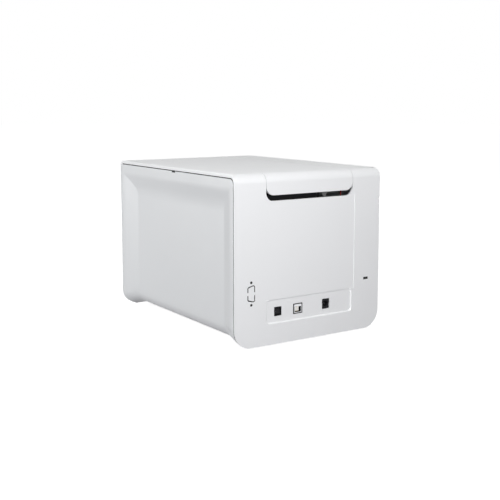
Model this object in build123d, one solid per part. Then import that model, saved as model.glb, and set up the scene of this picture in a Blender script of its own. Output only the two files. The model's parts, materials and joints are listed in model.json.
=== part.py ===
from build123d import *
import math
import os

# A desktop printer for plastic cards. X runs across, with +X on the side that
# has the D-shaped knock-out, the front faces -Y, the sockets face +Y, +Z is up.
# The origin is on the floor, below the middle of the whole object.

# Outer sizes
half_width = 102.5
front_y = -125.0
rear_y = 155.0
top_z = 195.0
body_z = 3.0
wall = 2.5
gap = 0.2

# Cutters reach below and above the object, or through the front wall or the rear wall
far = 200.0
below_z = -20.0
above_z = 250.0
front_cut_y0 = -140.0
front_cut_y1 = -110.0
rear_cut_y0 = 140.0
rear_cut_y1 = 170.0

# Round edges of the body, seen from the side and from the back
rear_top_radius = 11.0
front_top_radius = 8.0
top_side_radius = 4.0
panel_radius = 21.5
edge_radius = 1.2

# Side covers: a rim round a shallow dish, and an underside that is raised between the ends
cover_inner_x = 88.0
seam_z = 190.6
seam_y = 152.6
seam_corner_radius = 6.0
top_seam_gap = 0.8
rear_seam_gap = 1.3
dish_depth = 4.5
dish_rim_front_y = -113.7
dish_rim_rear_y = 146.0
dish_rim_top_z = 178.0
dish_floor_front_y = -82.0
dish_floor_rear_y = 128.0
dish_floor_top_z = 160.0
foot_z = 3.7
foot_end_y = -113.0
raised_front_y = -84.0
raised_rear_y = 130.0
side_raised_z = 11.2
tail_z = 6.3
raised_z = 13.2
low_front_radius = 4.0
ramp_radius = 8.0
foot_round = 17.6
foot_round_x = half_width - foot_round
raised_round = 14.3
raised_round_x = half_width - dish_depth - raised_round
tail_round = 16.3
tail_round_x = half_width - tail_round
side_start_x = 60.0
notch_y0 = 19.5
notch_y1 = 22.5
notch_depth = 1.0

# Lid, its tongue over the rear edge, and the gap below the tongue
lid_half = 60.6
lid_opening_half = 61.1
tongue_z = 170.5
rear_gap_z = 164.2
tongue_radius = 9.5
lid_front_z = 168.0
hinge_y = 137.0
hinge_z = 187.0
hinge_pin_radius = 2.0
lid_edge_radius = 1.2
lid_rib_thick = 1.8
lid_rib_x = 57.5
lid_rib_drop = 7.0
lid_cross_rib_y = (-96.0, -62.0, 60.0, 92.0)
lid_cross_rib_drop = 4.0
lid_sheet_end_y = 120.0
lug_x0 = 53.5
lug_x1 = 59.0
lug_radius = 5.0
hinge_pin_x0 = 53.0
hinge_pin_x1 = 66.0
bracket_x0 = 61.6
bracket_half_depth = 7.0
bracket_drop = 6.0
running_fit = 0.05

# White sheet of the top strips and the rear wall
sheet_wall = wall + 0.3
sheet_half = cover_inner_x - 0.5
side_lip_thick = 3.0
side_lip_drop = 12.0
backing_margin = 3.0
backing_thick = 2.6
label_high_z = 166.0

# Rear wall details
port_left_x = -61.2
port_right_x = 60.8
port_low_z = 26.5
port_high_z = 53.8
port_depth = 1.4
port_corner_radius = 4.0
label_left_x = -64.3
label_right_x = 61.7
label_depth = 0.4
board_z = 34.0
usb_x = 16.4
usb_z = 39.5
jack_x = -23.8
jack_z = 39.9
switch_x = 44.0
rocker_axis_y = 150.0
switch_z = 39.7
dsub_x = 80.5
dsub_z = 63.9
dsub_spacing = 25.0
dsub_hole_radius = 1.6
lock_x = -82.4
lock_z = 63.8
lock_width = 7.0
lock_height = 3.0
switch_cut = (10.2, 10.7)
usb_cut = (13.2, 12.1)
jack_cut = (10.8, 12.0)
dsub_wide = 10.25
dsub_narrow = 7.7
dsub_reach = 5.05
dsub_slit = 1.2
dsub_bridge = 3.2
dsub_wide_corner = 2.6
dsub_narrow_corner = 2.2
cap_depth = 5.0
cap_wall = 1.0
dsub_cap_reach = 8.0
dsub_cap_half = 16.0
lock_cap_half_width = 5.0
lock_cap_half_height = 4.5

# Sockets and rocker, standing on the main board
socket_back_y = 138.0
usb_back_y = 138.5
usb_front_y = 153.8
usb_half = 6.0
usb_top_z = 45.2
usb_mouth_half = 4.3
usb_mouth_low = 4.4
usb_mouth_high = 4.2
usb_mouth_cut = 2.0
usb_mouth_y = 144.0
jack_front_y = 153.4
jack_half = 4.9
jack_top_z = 45.6
jack_bore_radius = 3.4
jack_pin_radius = 1.0
switch_front_y = 153.6
switch_half_width = 4.8
switch_half_height = 5.1
switch_mouth_half_width = 3.8
switch_mouth_half_height = 4.3
rocker_half_width = 3.5
rocker_pivot_radius = 0.7
rocker_pivot_reach = 0.25

# Button, lamps and their board behind the front wall
button_x = 70.0
button_z = 150.0
button_radius = 5.0
button_flange_radius = 6.5
button_proud = 1.6
light_z = (132.0, 125.0, 118.0)
light_radius = 1.6
front_board_y = -113.8
front_board_thick = 1.6

# Steel frame and card path
frame_x = 46.0
frame_thick = 1.5
tray_top_z = 23.0
floor_z = raised_z + wall
frame_front_y = -104.0
frame_rear_y = 118.0
frame_low_end_y = 26.0
frame_step_z = 56.0
frame_top_z = 152.0
frame_front_top_z = 164.0
cross_plate_low_z = 62.0
cross_plate_high_z = 166.5
cross_plate_thick = 1.5
cross_ear_y = 106.0
tie_rod_radius = 2.5
tie_rod_places = [(-97.0, 158.0), (-46.0, 26.0), (99.0, 103.0)]
guide_half = 31.0
guide_front_y = -62.0
guide_rear_y = 112.0
guide_foot_y = (-58.0, 66.0, 100.0)
card_z = 112.0
card_half = 27.0
roller_z = 104.0
roller_radius = 8.0
roller_end_x = 49.5
shaft_radius = 3.0
bush_radius = 5.0
bush_flange_radius = 6.2
bush_flange_thick = 1.2
pick_sleeve_half = 15.0
drive_sleeve_half = 25.0
platen_sleeve_half = 26.5
pinch_sleeve_half = 24.0
pick_y = -80.0
drive_front_y = -22.0
platen_y = 6.0
drive_rear_y = 36.0
cleaning_y = -48.0
cleaning_radius = 9.0
cleaning_z = 122.0
pinch_radius = 5.0
pinch_z = 118.0
pinch_shaft_radius = 2.5
pulley_radius = 6.5
pulley_x0 = 51.0
pulley_x1 = 57.0
belt_clearance = 0.3
belt_thick = 1.2
pulley_flange = 1.0
pulley_side = 0.6
motor_y = 2.0
motor_z = 62.0
motor_back_x = 12.0
motor_half = 17.5
motor_boss_radius = 11.0
motor_shaft_radius = 2.5
motor_shaft_start_x = 24.0

# Ribbon
spool_z = 148.0
take_up_y = -40.0
supply_y = 56.0
trunnion_radius = 5.7
trunnion_reach = 4.0
film_half = card_half + 2.0
full_roll_radius = 15.0
used_roll_radius = 10.0
spool_flange_radius = 14.0
spool_flange_x0 = 30.0
spool_flange_x1 = 32.0
spool_core_radius = 7.5
spool_core_half = 38.0
gear_x0 = -54.5
gear_x1 = -49.5
take_up_gear_radius = 13.0
motor_gear_radius = 8.9
film_thick = 0.25
film_path = [(-33.2, 139.9), (-9.0, 114.6), (-5.0, 113.5), (17.0, 113.5), (21.0, 114.6), (47.8, 134.4)]
ribbon_motor_y = -36.0
ribbon_motor_z = 126.0
ribbon_motor_radius = 12.0
ribbon_shaft_radius = 1.5
ribbon_plate_x0 = -58.5
ribbon_plate_x1 = -57.0
ribbon_plate_half = 16.0
ribbon_plate_rise = 30.0
ribbon_post_radius = 2.0
ribbon_post_places = [(-12, -12), (4, -14), (13, 26)]

# Front hopper unit
hopper_half = 40.0
hopper_front_y = -152.4
hopper_low_z = 36.0
hopper_high_z = 158.0
card_bay_half = 28.5
feeder_low_z = 98.0
feeder_high_z = 152.0
stacker_low_z = 42.0
stacker_high_z = 92.0
feeder_end_y = -66.0
door_thick = 2.3
door_axis_y = -153.85
door_pin_radius = 0.6
bay_wall = 2.5
knuckle_y0 = -155.0
knuckle_y1 = -145.0
knuckle_reach = 1.2
knuckle_root = 3.0
scoop_radius = 16.0
stacker_end_y = -64.0
output_end_y = -70.0
output_height = 14.0
weight_front_y = -146.0
weight_rear_y = -71.0
weight_half = 26.0
gauge_half = 11.7
gauge_knob_half = 6.0

# Print head under the lid, and its springs
carrier_half = 36.0
carrier_z0 = 158.0
carrier_z1 = 161.0
carrier_arm = 3.0
carrier_arm_low_z = 122.0
head_front_y = -3.0
head_rear_y = 15.0
head_half = 31.0
strip_low_z = 114.3
strip_high_z = 116.5
head_top_z = 126.0
sink_half = 30.0
sink_front_y = -2.0
sink_rear_y = 14.0
sink_base_z = 130.0
fin_top_z = 149.0
fin_count = 13
fin_pitch = 4.8
fin_thick = 2.2
spring_x = 18.0
spring_y = 6.0
spring_radius = 4.0
spring_low_z = 149.05

# Main board, fan and lid sensor
board_thick = 1.6
board_half = 60.0
board_front_y = 58.0
board_rear_y = 150.0
board_post_places = [(-54, 64), (54, 64), (-54, 134), (54, 134)]
board_post_radius = 3.5
fan_z = 100.0
fan_half = 20.0
fan_y0 = 119.5
fan_y1 = 129.5
fan_bore_radius = 18.5
fan_hub_radius = 8.0
fan_arm = 1.0
rotor_y0 = 122.0
rotor_y1 = 128.6
blade_count = 7
blade_reach = 11.8
blade_slant = 32.0
sensor_x0 = -49.0
sensor_x1 = -39.0
sensor_y0 = 119.5
sensor_y1 = 124.0
sensor_low_z = 140.0
sensor_high_z = 159.5
sensor_tab_x0 = -48.0
sensor_tab_x1 = -40.0
sensor_tab_y0 = 120.2
sensor_tab_y1 = 124.0
sensor_tab_z = 161.2
sensor_tab_shoulder_z = 166.0
wire_radius = 0.6
wire_y = 126.0
ground_wire_x = -62.5
ground_wire_y = 131.0

# Screws
head_radius = 2.8
head_height = 1.8
case_screw_x = 70.0
case_screw_length = 9.0
frame_screw_x = 52.0
frame_screw_length = 3.8
screw_shank_radius = 1.3
screw_hole_radius = 1.35
case_screw_y = (-40.0, 20.0, 110.0)
frame_screw_y = (-58.0, -22.0, 14.0)

# Feet
foot_pad_radius = 6.5
foot_places = [(-58.0, -106.0), (58.0, -106.0), (-45.0, 130.0), (45.0, 130.0)]


def block(x0, x1, y0, y1, z0, z1):
    """Box between two corners."""
    middle = Pos((x0 + x1) / 2, (y0 + y1) / 2, (z0 + z1) / 2)
    return middle * Box(x1 - x0, y1 - y0, z1 - z0)


def rod_x(y, z, radius, x0, x1):
    """Cylinder along X."""
    return Pos((x0 + x1) / 2, y, z) * Rot(0, 90, 0) * Cylinder(radius, x1 - x0)


def rod_y(x, z, radius, y0, y1):
    """Cylinder along Y."""
    return Pos(x, (y0 + y1) / 2, z) * Rot(90, 0, 0) * Cylinder(radius, y1 - y0)


def rod_z(x, y, radius, z0, z1):
    """Cylinder along Z."""
    return Pos(x, y, (z0 + z1) / 2) * Cylinder(radius, z1 - z0)


def outline(*corners):
    """Closed face from corners, each given as across, up and its rounding."""
    points = [(across, up) for across, up, rounding in corners]
    roundings = [rounding for across, up, rounding in corners]
    return make_face(FilletPolyline(*points, radius=roundings, close=True))


def slab_x(face, x0, x1):
    """Extrude an outline drawn in Y and Z along X."""
    return extrude(Plane.YZ.offset(x0) * face, x1 - x0)


def slab_y(face, y0, y1):
    """Extrude an outline drawn in X and Z along Y."""
    return extrude(Plane.XZ.offset(-y1) * face, y1 - y0)


def rounded_rectangle(x0, x1, z0, z1, rounding):
    """Outline of a rectangle with four equal roundings."""
    return outline((x0, z0, rounding), (x1, z0, rounding), (x1, z1, rounding), (x0, z1, rounding))


def both_sides(solid):
    """The solid and its mirror image across the middle plane."""
    return Compound(children=[*solid.solids(), *mirror(solid, about=Plane.YZ).solids()])


def group(solids):
    """Several separate solids as one piece list."""
    return Compound(children=[one for solid in solids for one in solid.solids()])


def underside(y0, y1, lift, top, raised, corner=seam_corner_radius):
    """Side outline of the bottom: low front foot, raised middle, low rear end."""
    return outline(
        (y0, top, 0),
        (y0, foot_z + lift, low_front_radius - lift),
        (foot_end_y, foot_z + lift, ramp_radius),
        (raised_front_y, raised + lift, ramp_radius),
        (raised_rear_y, raised + lift, ramp_radius),
        (y1, tail_z + lift, 0),
        (y1, top, corner),
    )


def body_outline(inset):
    """Side outline of the whole body above the floor, with its two round top edges."""
    return outline(
        (front_y + inset, below_z, 0),
        (rear_y - inset, below_z, 0),
        (rear_y - inset, top_z - inset, rear_top_radius - inset),
        (front_y + inset, top_z - inset, front_top_radius - inset),
    )


def side_block(inset):
    """One side of the body on +X, drawn in from its outer faces by the inset."""
    outer_x = half_width - inset
    ends = outline(
        (side_start_x, body_z + inset, 0),
        (outer_x, body_z + inset, 0),
        (outer_x, seam_z - inset, edge_radius),
        (side_start_x, seam_z - inset, 0),
    )
    solid = slab_y(ends, front_y + inset, seam_y - inset)
    below = underside(front_y + inset, seam_y - inset, inset, seam_z, side_raised_z)
    solid = solid & slab_x(below, side_start_x, half_width)
    solid = solid & slab_x(body_outline(inset), side_start_x, half_width)
    return solid - dish_cutter(inset) - low_edge_cutter(inset)


def dish_cutter(inset):
    """Tapered plug that hollows the side face, open at the bottom."""
    spread = 2.0
    slope = spread / dish_depth
    front_step = (dish_rim_front_y - dish_floor_front_y) * slope
    rear_step = (dish_rim_rear_y - dish_floor_rear_y) * slope
    top_step = (dish_rim_top_z - dish_floor_top_z) * slope
    floor_x = half_width - dish_depth - inset
    floor = outline(
        (dish_floor_front_y, below_z, 0),
        (dish_floor_rear_y, below_z, 0),
        (dish_floor_rear_y, dish_floor_top_z, 0),
        (dish_floor_front_y, dish_floor_top_z, 0),
    )
    mouth = outline(
        (dish_rim_front_y + front_step, below_z, 0),
        (dish_rim_rear_y + rear_step, below_z, 0),
        (dish_rim_rear_y + rear_step, dish_rim_top_z + top_step, 0),
        (dish_rim_front_y + front_step, dish_rim_top_z + top_step, 0),
    )
    sections = [Plane.YZ.offset(floor_x) * floor, Plane.YZ.offset(floor_x + dish_depth + spread) * mouth]
    return loft(sections, ruled=True)


def low_edge_section(y, centre_x, centre_z, radius):
    """What the rounded lower edge leaves out at one place along Y."""
    low = centre_z - radius
    side = centre_x + radius
    bend = radius * math.sqrt(0.5)
    lines = [
        Line((side, centre_z), (side + 20, centre_z)),
        Line((side + 20, centre_z), (side + 20, low - 20)),
        Line((side + 20, low - 20), (centre_x, low - 20)),
        Line((centre_x, low - 20), (centre_x, low)),
        ThreePointArc((centre_x, low), (centre_x + bend, centre_z - bend), (side, centre_z)),
    ]
    return Plane.XZ.offset(-y) * make_face(lines)


def low_edge_cutter(inset):
    """Rounds the long lower edge of the side, whose radius changes with the height of the underside."""
    places = [
        (front_y - 5, foot_round_x, foot_z, foot_round),
        (foot_end_y, foot_round_x, foot_z, foot_round),
        (raised_front_y, raised_round_x, side_raised_z, raised_round),
        (raised_rear_y, raised_round_x, side_raised_z, raised_round),
        (seam_y + 5, tail_round_x, tail_z, tail_round),
    ]
    sections = [low_edge_section(y, x, z + round_to, round_to - inset) for y, x, z, round_to in places]
    return loft(sections, ruled=True)


def side_cover():
    """Dished cover of the +X side, open towards the inside."""
    shell = side_block(0) - side_block(wall)
    shell = shell - block(0, cover_inner_x, -far, far, below_z, above_z)
    notch = block(half_width - wall, half_width + 1, notch_y0, notch_y1, seam_z - notch_depth, seam_z + 1)
    return shell - notch


def shell_profile(thickness):
    """Side outline of the front edge, the top and the rear wall as one bent sheet."""
    return outline(
        (front_y, lid_front_z, 0),
        (front_y, top_z, front_top_radius),
        (rear_y, top_z, rear_top_radius),
        (rear_y, body_z, 0),
        (rear_y - thickness, body_z, 0),
        (rear_y - thickness, top_z - thickness, rear_top_radius - thickness),
        (front_y + thickness, top_z - thickness, front_top_radius - thickness),
        (front_y + thickness, lid_front_z, 0),
    )


def dsub_ring():
    """Thin D-shaped slit of the knock-out, with two bridges left uncut."""
    wide_slant = 0.2
    narrow_slant = 0.1
    outer = outline(
        (dsub_x - dsub_reach, dsub_z - dsub_wide, dsub_wide_corner),
        (dsub_x - dsub_reach, dsub_z + dsub_wide, dsub_wide_corner),
        (dsub_x + dsub_reach, dsub_z + dsub_narrow, dsub_narrow_corner),
        (dsub_x + dsub_reach, dsub_z - dsub_narrow, dsub_narrow_corner),
    )
    reach = dsub_reach - dsub_slit
    wide = dsub_wide - dsub_slit - wide_slant
    narrow = dsub_narrow - dsub_slit + narrow_slant
    wide_corner = dsub_wide_corner - dsub_slit
    narrow_corner = dsub_narrow_corner - dsub_slit + narrow_slant
    inner = outline(
        (dsub_x - reach, dsub_z - wide, wide_corner),
        (dsub_x - reach, dsub_z + wide, wide_corner),
        (dsub_x + reach, dsub_z + narrow, narrow_corner),
        (dsub_x + reach, dsub_z - narrow, narrow_corner),
    )
    ring = slab_y(outer, rear_cut_y0, rear_cut_y1) - slab_y(inner, rear_cut_y0 - 1, rear_cut_y1 + 1)
    x0 = dsub_x - dsub_cap_reach
    x1 = dsub_x + dsub_cap_reach
    half = dsub_bridge / 2
    return ring - block(x0, x1, rear_cut_y0 - 1, rear_cut_y1 + 1, dsub_z - half, dsub_z + half)


def port_recess():
    """Shallow pocket round the sockets, whose lower and side walls slope out."""
    sections = []
    for step in (-port_depth, port_depth):
        left, right = port_left_x - step, port_right_x + step
        face = rounded_rectangle(left, right, port_low_z - step, port_high_z, port_corner_radius + step)
        sections.append(Plane.XZ.offset(-rear_y - step) * face)
    return loft(sections, ruled=True)


def top_and_rear_cover():
    """White sheet that makes the two top strips and the whole rear wall."""
    skin = rear_y - seam_y - rear_seam_gap
    sheet = slab_x(shell_profile(sheet_wall), -sheet_half, sheet_half)
    outer_skin = slab_x(shell_profile(skin), -half_width, half_width)
    lip = outline(
        (front_y, top_z, 0),
        (rear_y, top_z, rear_top_radius),
        (rear_y, seam_z - side_lip_drop, 0),
        (seam_y + rear_seam_gap, seam_z - side_lip_drop, 0),
        (seam_y + rear_seam_gap, seam_z + top_seam_gap, seam_corner_radius),
        (front_y, seam_z + top_seam_gap, 0),
    )
    side_lip = slab_x(lip, half_width - side_lip_thick, half_width)
    side_lip = side_lip & slab_x(body_outline(0), side_start_x, half_width)
    solid = sheet + outer_skin + side_lip + mirror(side_lip, about=Plane.YZ)
    solid = solid - block(-far, far, -far, front_cut_y1, below_z, seam_z + top_seam_gap)
    back = outline(
        (-half_width, body_z, panel_radius),
        (half_width, body_z, panel_radius),
        (half_width, top_z, top_side_radius),
        (-half_width, top_z, top_side_radius),
    )
    solid = solid & slab_y(back, front_y, rear_y)
    backing_y = rear_y - port_depth
    backing = block(
        port_left_x - backing_margin,
        port_right_x + backing_margin,
        backing_y - backing_thick,
        backing_y,
        port_low_z - backing_margin,
        port_high_z + backing_margin,
    )
    solid = solid + backing
    solid = solid - port_recess()
    label = block(label_left_x, label_right_x, rear_y - label_depth, rear_cut_y1, port_high_z, label_high_z)
    solid = solid - label
    rear_gap = outline(
        (-lid_opening_half, rear_gap_z, tongue_radius),
        (lid_opening_half, rear_gap_z, tongue_radius),
        (lid_opening_half, above_z, 0),
        (-lid_opening_half, above_z, 0),
    )
    solid = solid - slab_y(rear_gap, front_cut_y0, rear_cut_y1)
    for x, z, (width, height) in (
        (switch_x, switch_z, switch_cut),
        (usb_x, usb_z, usb_cut),
        (jack_x, jack_z, jack_cut),
        (lock_x, lock_z, (lock_width, lock_height)),
    ):
        cut = block(x - width / 2, x + width / 2, rear_cut_y0, rear_cut_y1, z - height / 2, z + height / 2)
        solid = solid - cut
    for side in (-0.5, 0.5):
        z = dsub_z + side * dsub_spacing
        solid = solid - rod_y(dsub_x, z, dsub_hole_radius, rear_cut_y0, rear_cut_y1)
    return solid - dsub_ring()


def knock_out_caps():
    """Dark dust caps on the inner side of the rear wall, behind the knock-out and the lock slot."""
    y1 = rear_y - sheet_wall
    y0 = y1 - cap_depth
    dsub_cap = (dsub_x - dsub_cap_reach, cover_inner_x - 0.6, dsub_z - dsub_cap_half, dsub_z + dsub_cap_half)
    lock_cap = (
        lock_x - lock_cap_half_width,
        lock_x + lock_cap_half_width,
        lock_z - lock_cap_half_height,
        lock_z + lock_cap_half_height,
    )
    caps = []
    for x0, x1, z0, z1 in (dsub_cap, lock_cap):
        hollow = block(x0 + cap_wall, x1 - cap_wall, y0 + cap_wall, y1 + 1, z0 + cap_wall, z1 - cap_wall)
        caps.append(block(x0, x1, y0, y1, z0, z1) - hollow)
    return group(caps)


def lid():
    """Top cover with its rear tongue, front lip, stiffening ribs and hinge lugs."""
    sheet = outline(
        (front_y, lid_front_z, 0),
        (front_y, top_z, front_top_radius),
        (rear_y, top_z, rear_top_radius),
        (rear_y, tongue_z, 0),
        (rear_y - wall, tongue_z, 0),
        (rear_y - wall, top_z - wall, rear_top_radius - wall),
        (front_y + wall, top_z - wall, front_top_radius - wall),
        (front_y + wall, lid_front_z, 0),
    )
    solid = slab_x(sheet, -lid_half, lid_half)
    long_edges = outline(
        (-lid_half, below_z, 0),
        (lid_half, below_z, 0),
        (lid_half, top_z, lid_edge_radius),
        (-lid_half, top_z, lid_edge_radius),
    )
    solid = solid & slab_y(long_edges, front_cut_y0, rear_cut_y1)
    front_view = outline(
        (-lid_half, tongue_z, tongue_radius),
        (lid_half, tongue_z, tongue_radius),
        (lid_half, above_z, 0),
        (-lid_half, above_z, 0),
    )
    tongue = slab_y(front_view, lid_sheet_end_y, rear_cut_y1)
    solid = solid & (tongue + block(-lid_half, lid_half, front_cut_y0, lid_sheet_end_y, below_z, above_z))
    for rib in lid_ribs():
        solid = solid + rib
    solid = solid + sensor_tab()
    lug = block(lug_x0, lug_x1, hinge_y - lug_radius, hinge_y + lug_radius, hinge_z, top_z - wall)
    lug = lug + rod_x(hinge_y, hinge_z, lug_radius, lug_x0, lug_x1)
    solid = solid + lug + mirror(lug, about=Plane.YZ)
    return solid - rod_x(hinge_y, hinge_z, hinge_pin_radius + running_fit, -half_width, half_width)


def lid_ribs():
    """Stiffening ribs on the inner side of the lid: two along it and four across."""
    inner_z = top_z - wall
    half = lid_rib_thick / 2
    ribs = []
    for x in (-lid_rib_x, lid_rib_x):
        ribs.append(block(x - half, x + half, front_y + wall, frame_rear_y, inner_z - lid_rib_drop, inner_z))
    across = lid_rib_x - half
    for y in lid_cross_rib_y:
        ribs.append(block(-across, across, y - 0.8, y + 0.8, inner_z - lid_cross_rib_drop, inner_z))
    return ribs


def sensor_tab():
    """Tapered tab under the lid that presses the lid sensor."""
    inner_z = top_z - wall
    tip_half = 1.0
    middle = (sensor_tab_x0 + sensor_tab_x1) / 2
    face = outline(
        (sensor_tab_x0, inner_z, 0),
        (sensor_tab_x0, sensor_tab_shoulder_z, 0),
        (middle - tip_half, sensor_tab_z, 0.8),
        (middle + tip_half, sensor_tab_z, 0.8),
        (sensor_tab_x1, sensor_tab_shoulder_z, 0),
        (sensor_tab_x1, inner_z, 0),
    )
    return slab_y(face, sensor_tab_y0, sensor_tab_y1)


def lid_hinge_pins():
    """Two steel pins that the lid turns on."""
    return both_sides(rod_x(hinge_y, hinge_z, hinge_pin_radius, hinge_pin_x0, hinge_pin_x1))


def lid_hinge_brackets():
    """Moulded blocks under the top strips that hold the pins."""
    y0 = hinge_y - bracket_half_depth
    y1 = hinge_y + bracket_half_depth
    solid = block(bracket_x0, hinge_pin_x1, y0, y1, hinge_z - bracket_drop, top_z - sheet_wall)
    return both_sides(solid - rod_x(hinge_y, hinge_z, hinge_pin_radius, hinge_pin_x0 - 3, hinge_pin_x1 + 4))


def front_cover():
    """Flat front wall with the mouth of the hopper unit and the button place."""
    half = cover_inner_x - gap
    low = tray_top_z + gap
    solid = slab_x(body_outline(0), -half, half) - slab_x(body_outline(wall), -half, half)
    solid = solid & block(-half, half, front_cut_y0, front_cut_y1, low, seam_z)
    for x, z0, z1 in (
        (lid_opening_half, lid_front_z - 0.5, above_z),
        (card_bay_half, stacker_low_z, stacker_high_z),
        (card_bay_half, feeder_low_z, feeder_high_z),
    ):
        solid = solid - block(-x, x, front_cut_y0, front_cut_y1, z0, z1)
    solid = solid - rod_y(button_x, button_z, button_radius + 0.3, front_cut_y0, front_cut_y1)
    for z in light_z:
        solid = solid - rod_y(button_x, z, light_radius, front_cut_y0, front_cut_y1)
    return solid


def control_button():
    """Round push button with a guide stem and a flange behind the front wall."""
    flange_y = front_y + wall + gap
    cap = rod_y(button_x, button_z, button_radius, front_y - button_proud, front_y + 5.7)
    flange = rod_y(button_x, button_z, button_flange_radius, flange_y, flange_y + 1.2)
    return cap + flange


def light_guides():
    """Three clear pegs that carry the light of the lamps to the front."""
    return group([rod_y(button_x, z, light_radius, front_y - 0.3, front_y + 6.0) for z in light_z])


def front_board():
    """Small circuit board behind the button, with the switch and lamps on it."""
    face_y = front_board_y - front_board_thick
    board = block(58, 82, face_y, front_board_y, 110, 162)
    switch_half = 3.0
    button_switch = block(
        button_x - switch_half,
        button_x + switch_half,
        face_y - 2.8,
        face_y,
        button_z - switch_half,
        button_z + switch_half,
    )
    solids = [board + button_switch]
    lamp_half = 1.4
    for z in light_z:
        x0 = button_x - lamp_half
        x1 = button_x + lamp_half
        solids.append(block(x0, x1, face_y - 2.2, face_y, z - lamp_half, z + lamp_half))
    for z in (110.5, 157.0):
        solids.append(block(60, 64, front_y + wall, face_y, z, z + 4))
    return group(solids)


def base_tray():
    """Bottom pan with a low foot bar at each end and a raised middle."""
    half = cover_inner_x - gap
    rear = rear_y - wall - 0.5
    post_top_z = 26.0
    above_posts_z = post_top_z + 1
    outer = slab_x(underside(front_y, rear, 0, tray_top_z, raised_z, 0), -half, half)
    inner = slab_x(underside(front_y + wall, rear - wall, wall, 40.0, raised_z, 0), -half - 1, half + 1)
    solid = outer - inner
    for x, y in foot_places:
        solid = solid + rod_z(x, y, foot_pad_radius + 1, body_z, raised_z + 1)
    for x in (-case_screw_x, case_screw_x):
        for y in case_screw_y:
            post = rod_z(x, y, 4, raised_z + 1, post_top_z)
            solid = solid + post - rod_z(x, y, screw_hole_radius, 0, above_posts_z)
    for x in (-frame_screw_x, frame_screw_x):
        for y in frame_screw_y:
            solid = solid - rod_z(x, y, screw_hole_radius, 0, above_posts_z)
    slot_half = 40
    slot_width = 3
    slot_pitch = 9
    for y in range(-40, 20, slot_pitch):
        solid = solid - block(-slot_half, slot_half, y, y + slot_width, 0, floor_z + 1)
    return solid


def rubber_feet():
    """Four round pads."""
    return group([rod_z(x, y, foot_pad_radius, 0, body_z) for x, y in foot_places])


def hopper_housing():
    """Dark frame in front of the body, with the feeder above and the stacker below."""
    solid = block(-hopper_half, hopper_half, hopper_front_y, front_y, hopper_low_z, hopper_high_z)
    for z0, z1 in ((feeder_low_z, feeder_high_z), (stacker_low_z, stacker_high_z)):
        solid = solid - block(-card_bay_half, card_bay_half, -far, front_y + 5, z0, z1)
    finger_scoop = rod_z(0, hopper_front_y - 4, scoop_radius, feeder_high_z - 1, hopper_high_z + 1)
    solid = solid - finger_scoop
    x0 = -hopper_half - knuckle_reach
    x1 = -hopper_half + knuckle_root
    for z0, z1 in ((feeder_low_z - 5.7, feeder_low_z - 2.9), (hopper_high_z + 0.3, hopper_high_z + 3.0)):
        solid = solid + block(x0, x1, knuckle_y0, knuckle_y1, z0, z1)
    solid = solid + block(x0, x1, hopper_front_y + 0.9, knuckle_y1, hopper_high_z - 1, hopper_high_z + 3)
    for z0, z1 in ((feeder_low_z - 3.2, feeder_low_z + 2), (hopper_high_z - 4, hopper_high_z + 1)):
        solid = solid + rod_z(-hopper_half, door_axis_y, door_pin_radius, z0, z1)
    return solid


def feeder_door():
    """Smoked window that swings on two pins at its left edge."""
    z0 = feeder_low_z - 2.6
    z1 = hopper_high_z
    half_thick = door_thick / 2
    panel = block(-hopper_half, hopper_half - 2, door_axis_y - half_thick, door_axis_y + half_thick, z0, z1)
    barrel = rod_z(-hopper_half, door_axis_y, half_thick, z0, z1)
    bore = rod_z(-hopper_half, door_axis_y, door_pin_radius + running_fit, z0 - 1, z1 + 1)
    return panel + barrel - bore


def feeder_tray():
    """Card tray between the frame plates, joined to the front wall."""
    y0 = front_y + wall
    y1 = feeder_end_y
    half = card_bay_half + bay_wall
    card_low_z = card_z - 0.4
    solid = block(-half, half, y0, y1, feeder_low_z - 3, feeder_high_z)
    solid = solid - block(-card_bay_half, card_bay_half, y0 - 1, y1 - 2, card_low_z, feeder_high_z + 1)
    solid = solid - block(-card_bay_half, card_bay_half, y0 - 1, y1 - 2, feeder_low_z - 4, card_z - 3.0)
    solid = solid - block(-card_half, card_half, y1 - 5, y1 + 1, card_low_z, card_z + 2.2)
    solid = solid - block(-12, 12, y1 - 5, y1 + 1, card_z + 1, feeder_high_z + 1)
    half = pick_sleeve_half + 3
    reach = roller_radius + 1.5
    pick_slot = block(-half, half, pick_y - reach, pick_y + reach, card_z - 5, card_z + 1)
    return solid - pick_slot - rod_x(pick_y, roller_z, shaft_radius + 0.6, -hopper_half, hopper_half)


def card_weight():
    """Sliding plate that presses the card stack down."""
    low = card_z + 0.5
    high = low + 2.5
    plate = block(-weight_half, weight_half, weight_front_y, weight_rear_y, low, high)
    grip = block(-12, 12, weight_front_y, weight_front_y + 4, high, high + 5)
    return plate + grip


def card_gauge():
    """Gate plate with a knob that sets the gap for one card."""
    top = feeder_high_z + 2
    plate = block(-gauge_half, gauge_half, feeder_end_y - 1.8, feeder_end_y - 0.2, card_z + 1.4, top)
    knob = block(-gauge_knob_half, gauge_knob_half, feeder_end_y - 3.5, feeder_end_y + 1.5, top, top + 5)
    return plate + knob


def output_tray():
    """Sliding bin for the printed cards, with a low front lip."""
    slack = 0.4
    half = card_bay_half - slack
    y0 = hopper_front_y + slack
    low = stacker_low_z + slack
    solid = block(-half, half, y0, output_end_y, low, low + output_height)
    solid = solid - block(-half + 2, half - 2, y0 + 2.5, output_end_y + 10, low + 2, low + output_height + 16)
    grip = block(-9, 9, y0 - 2.0, y0 + 0.1, low + 9, low + 13)
    return solid + grip


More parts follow.
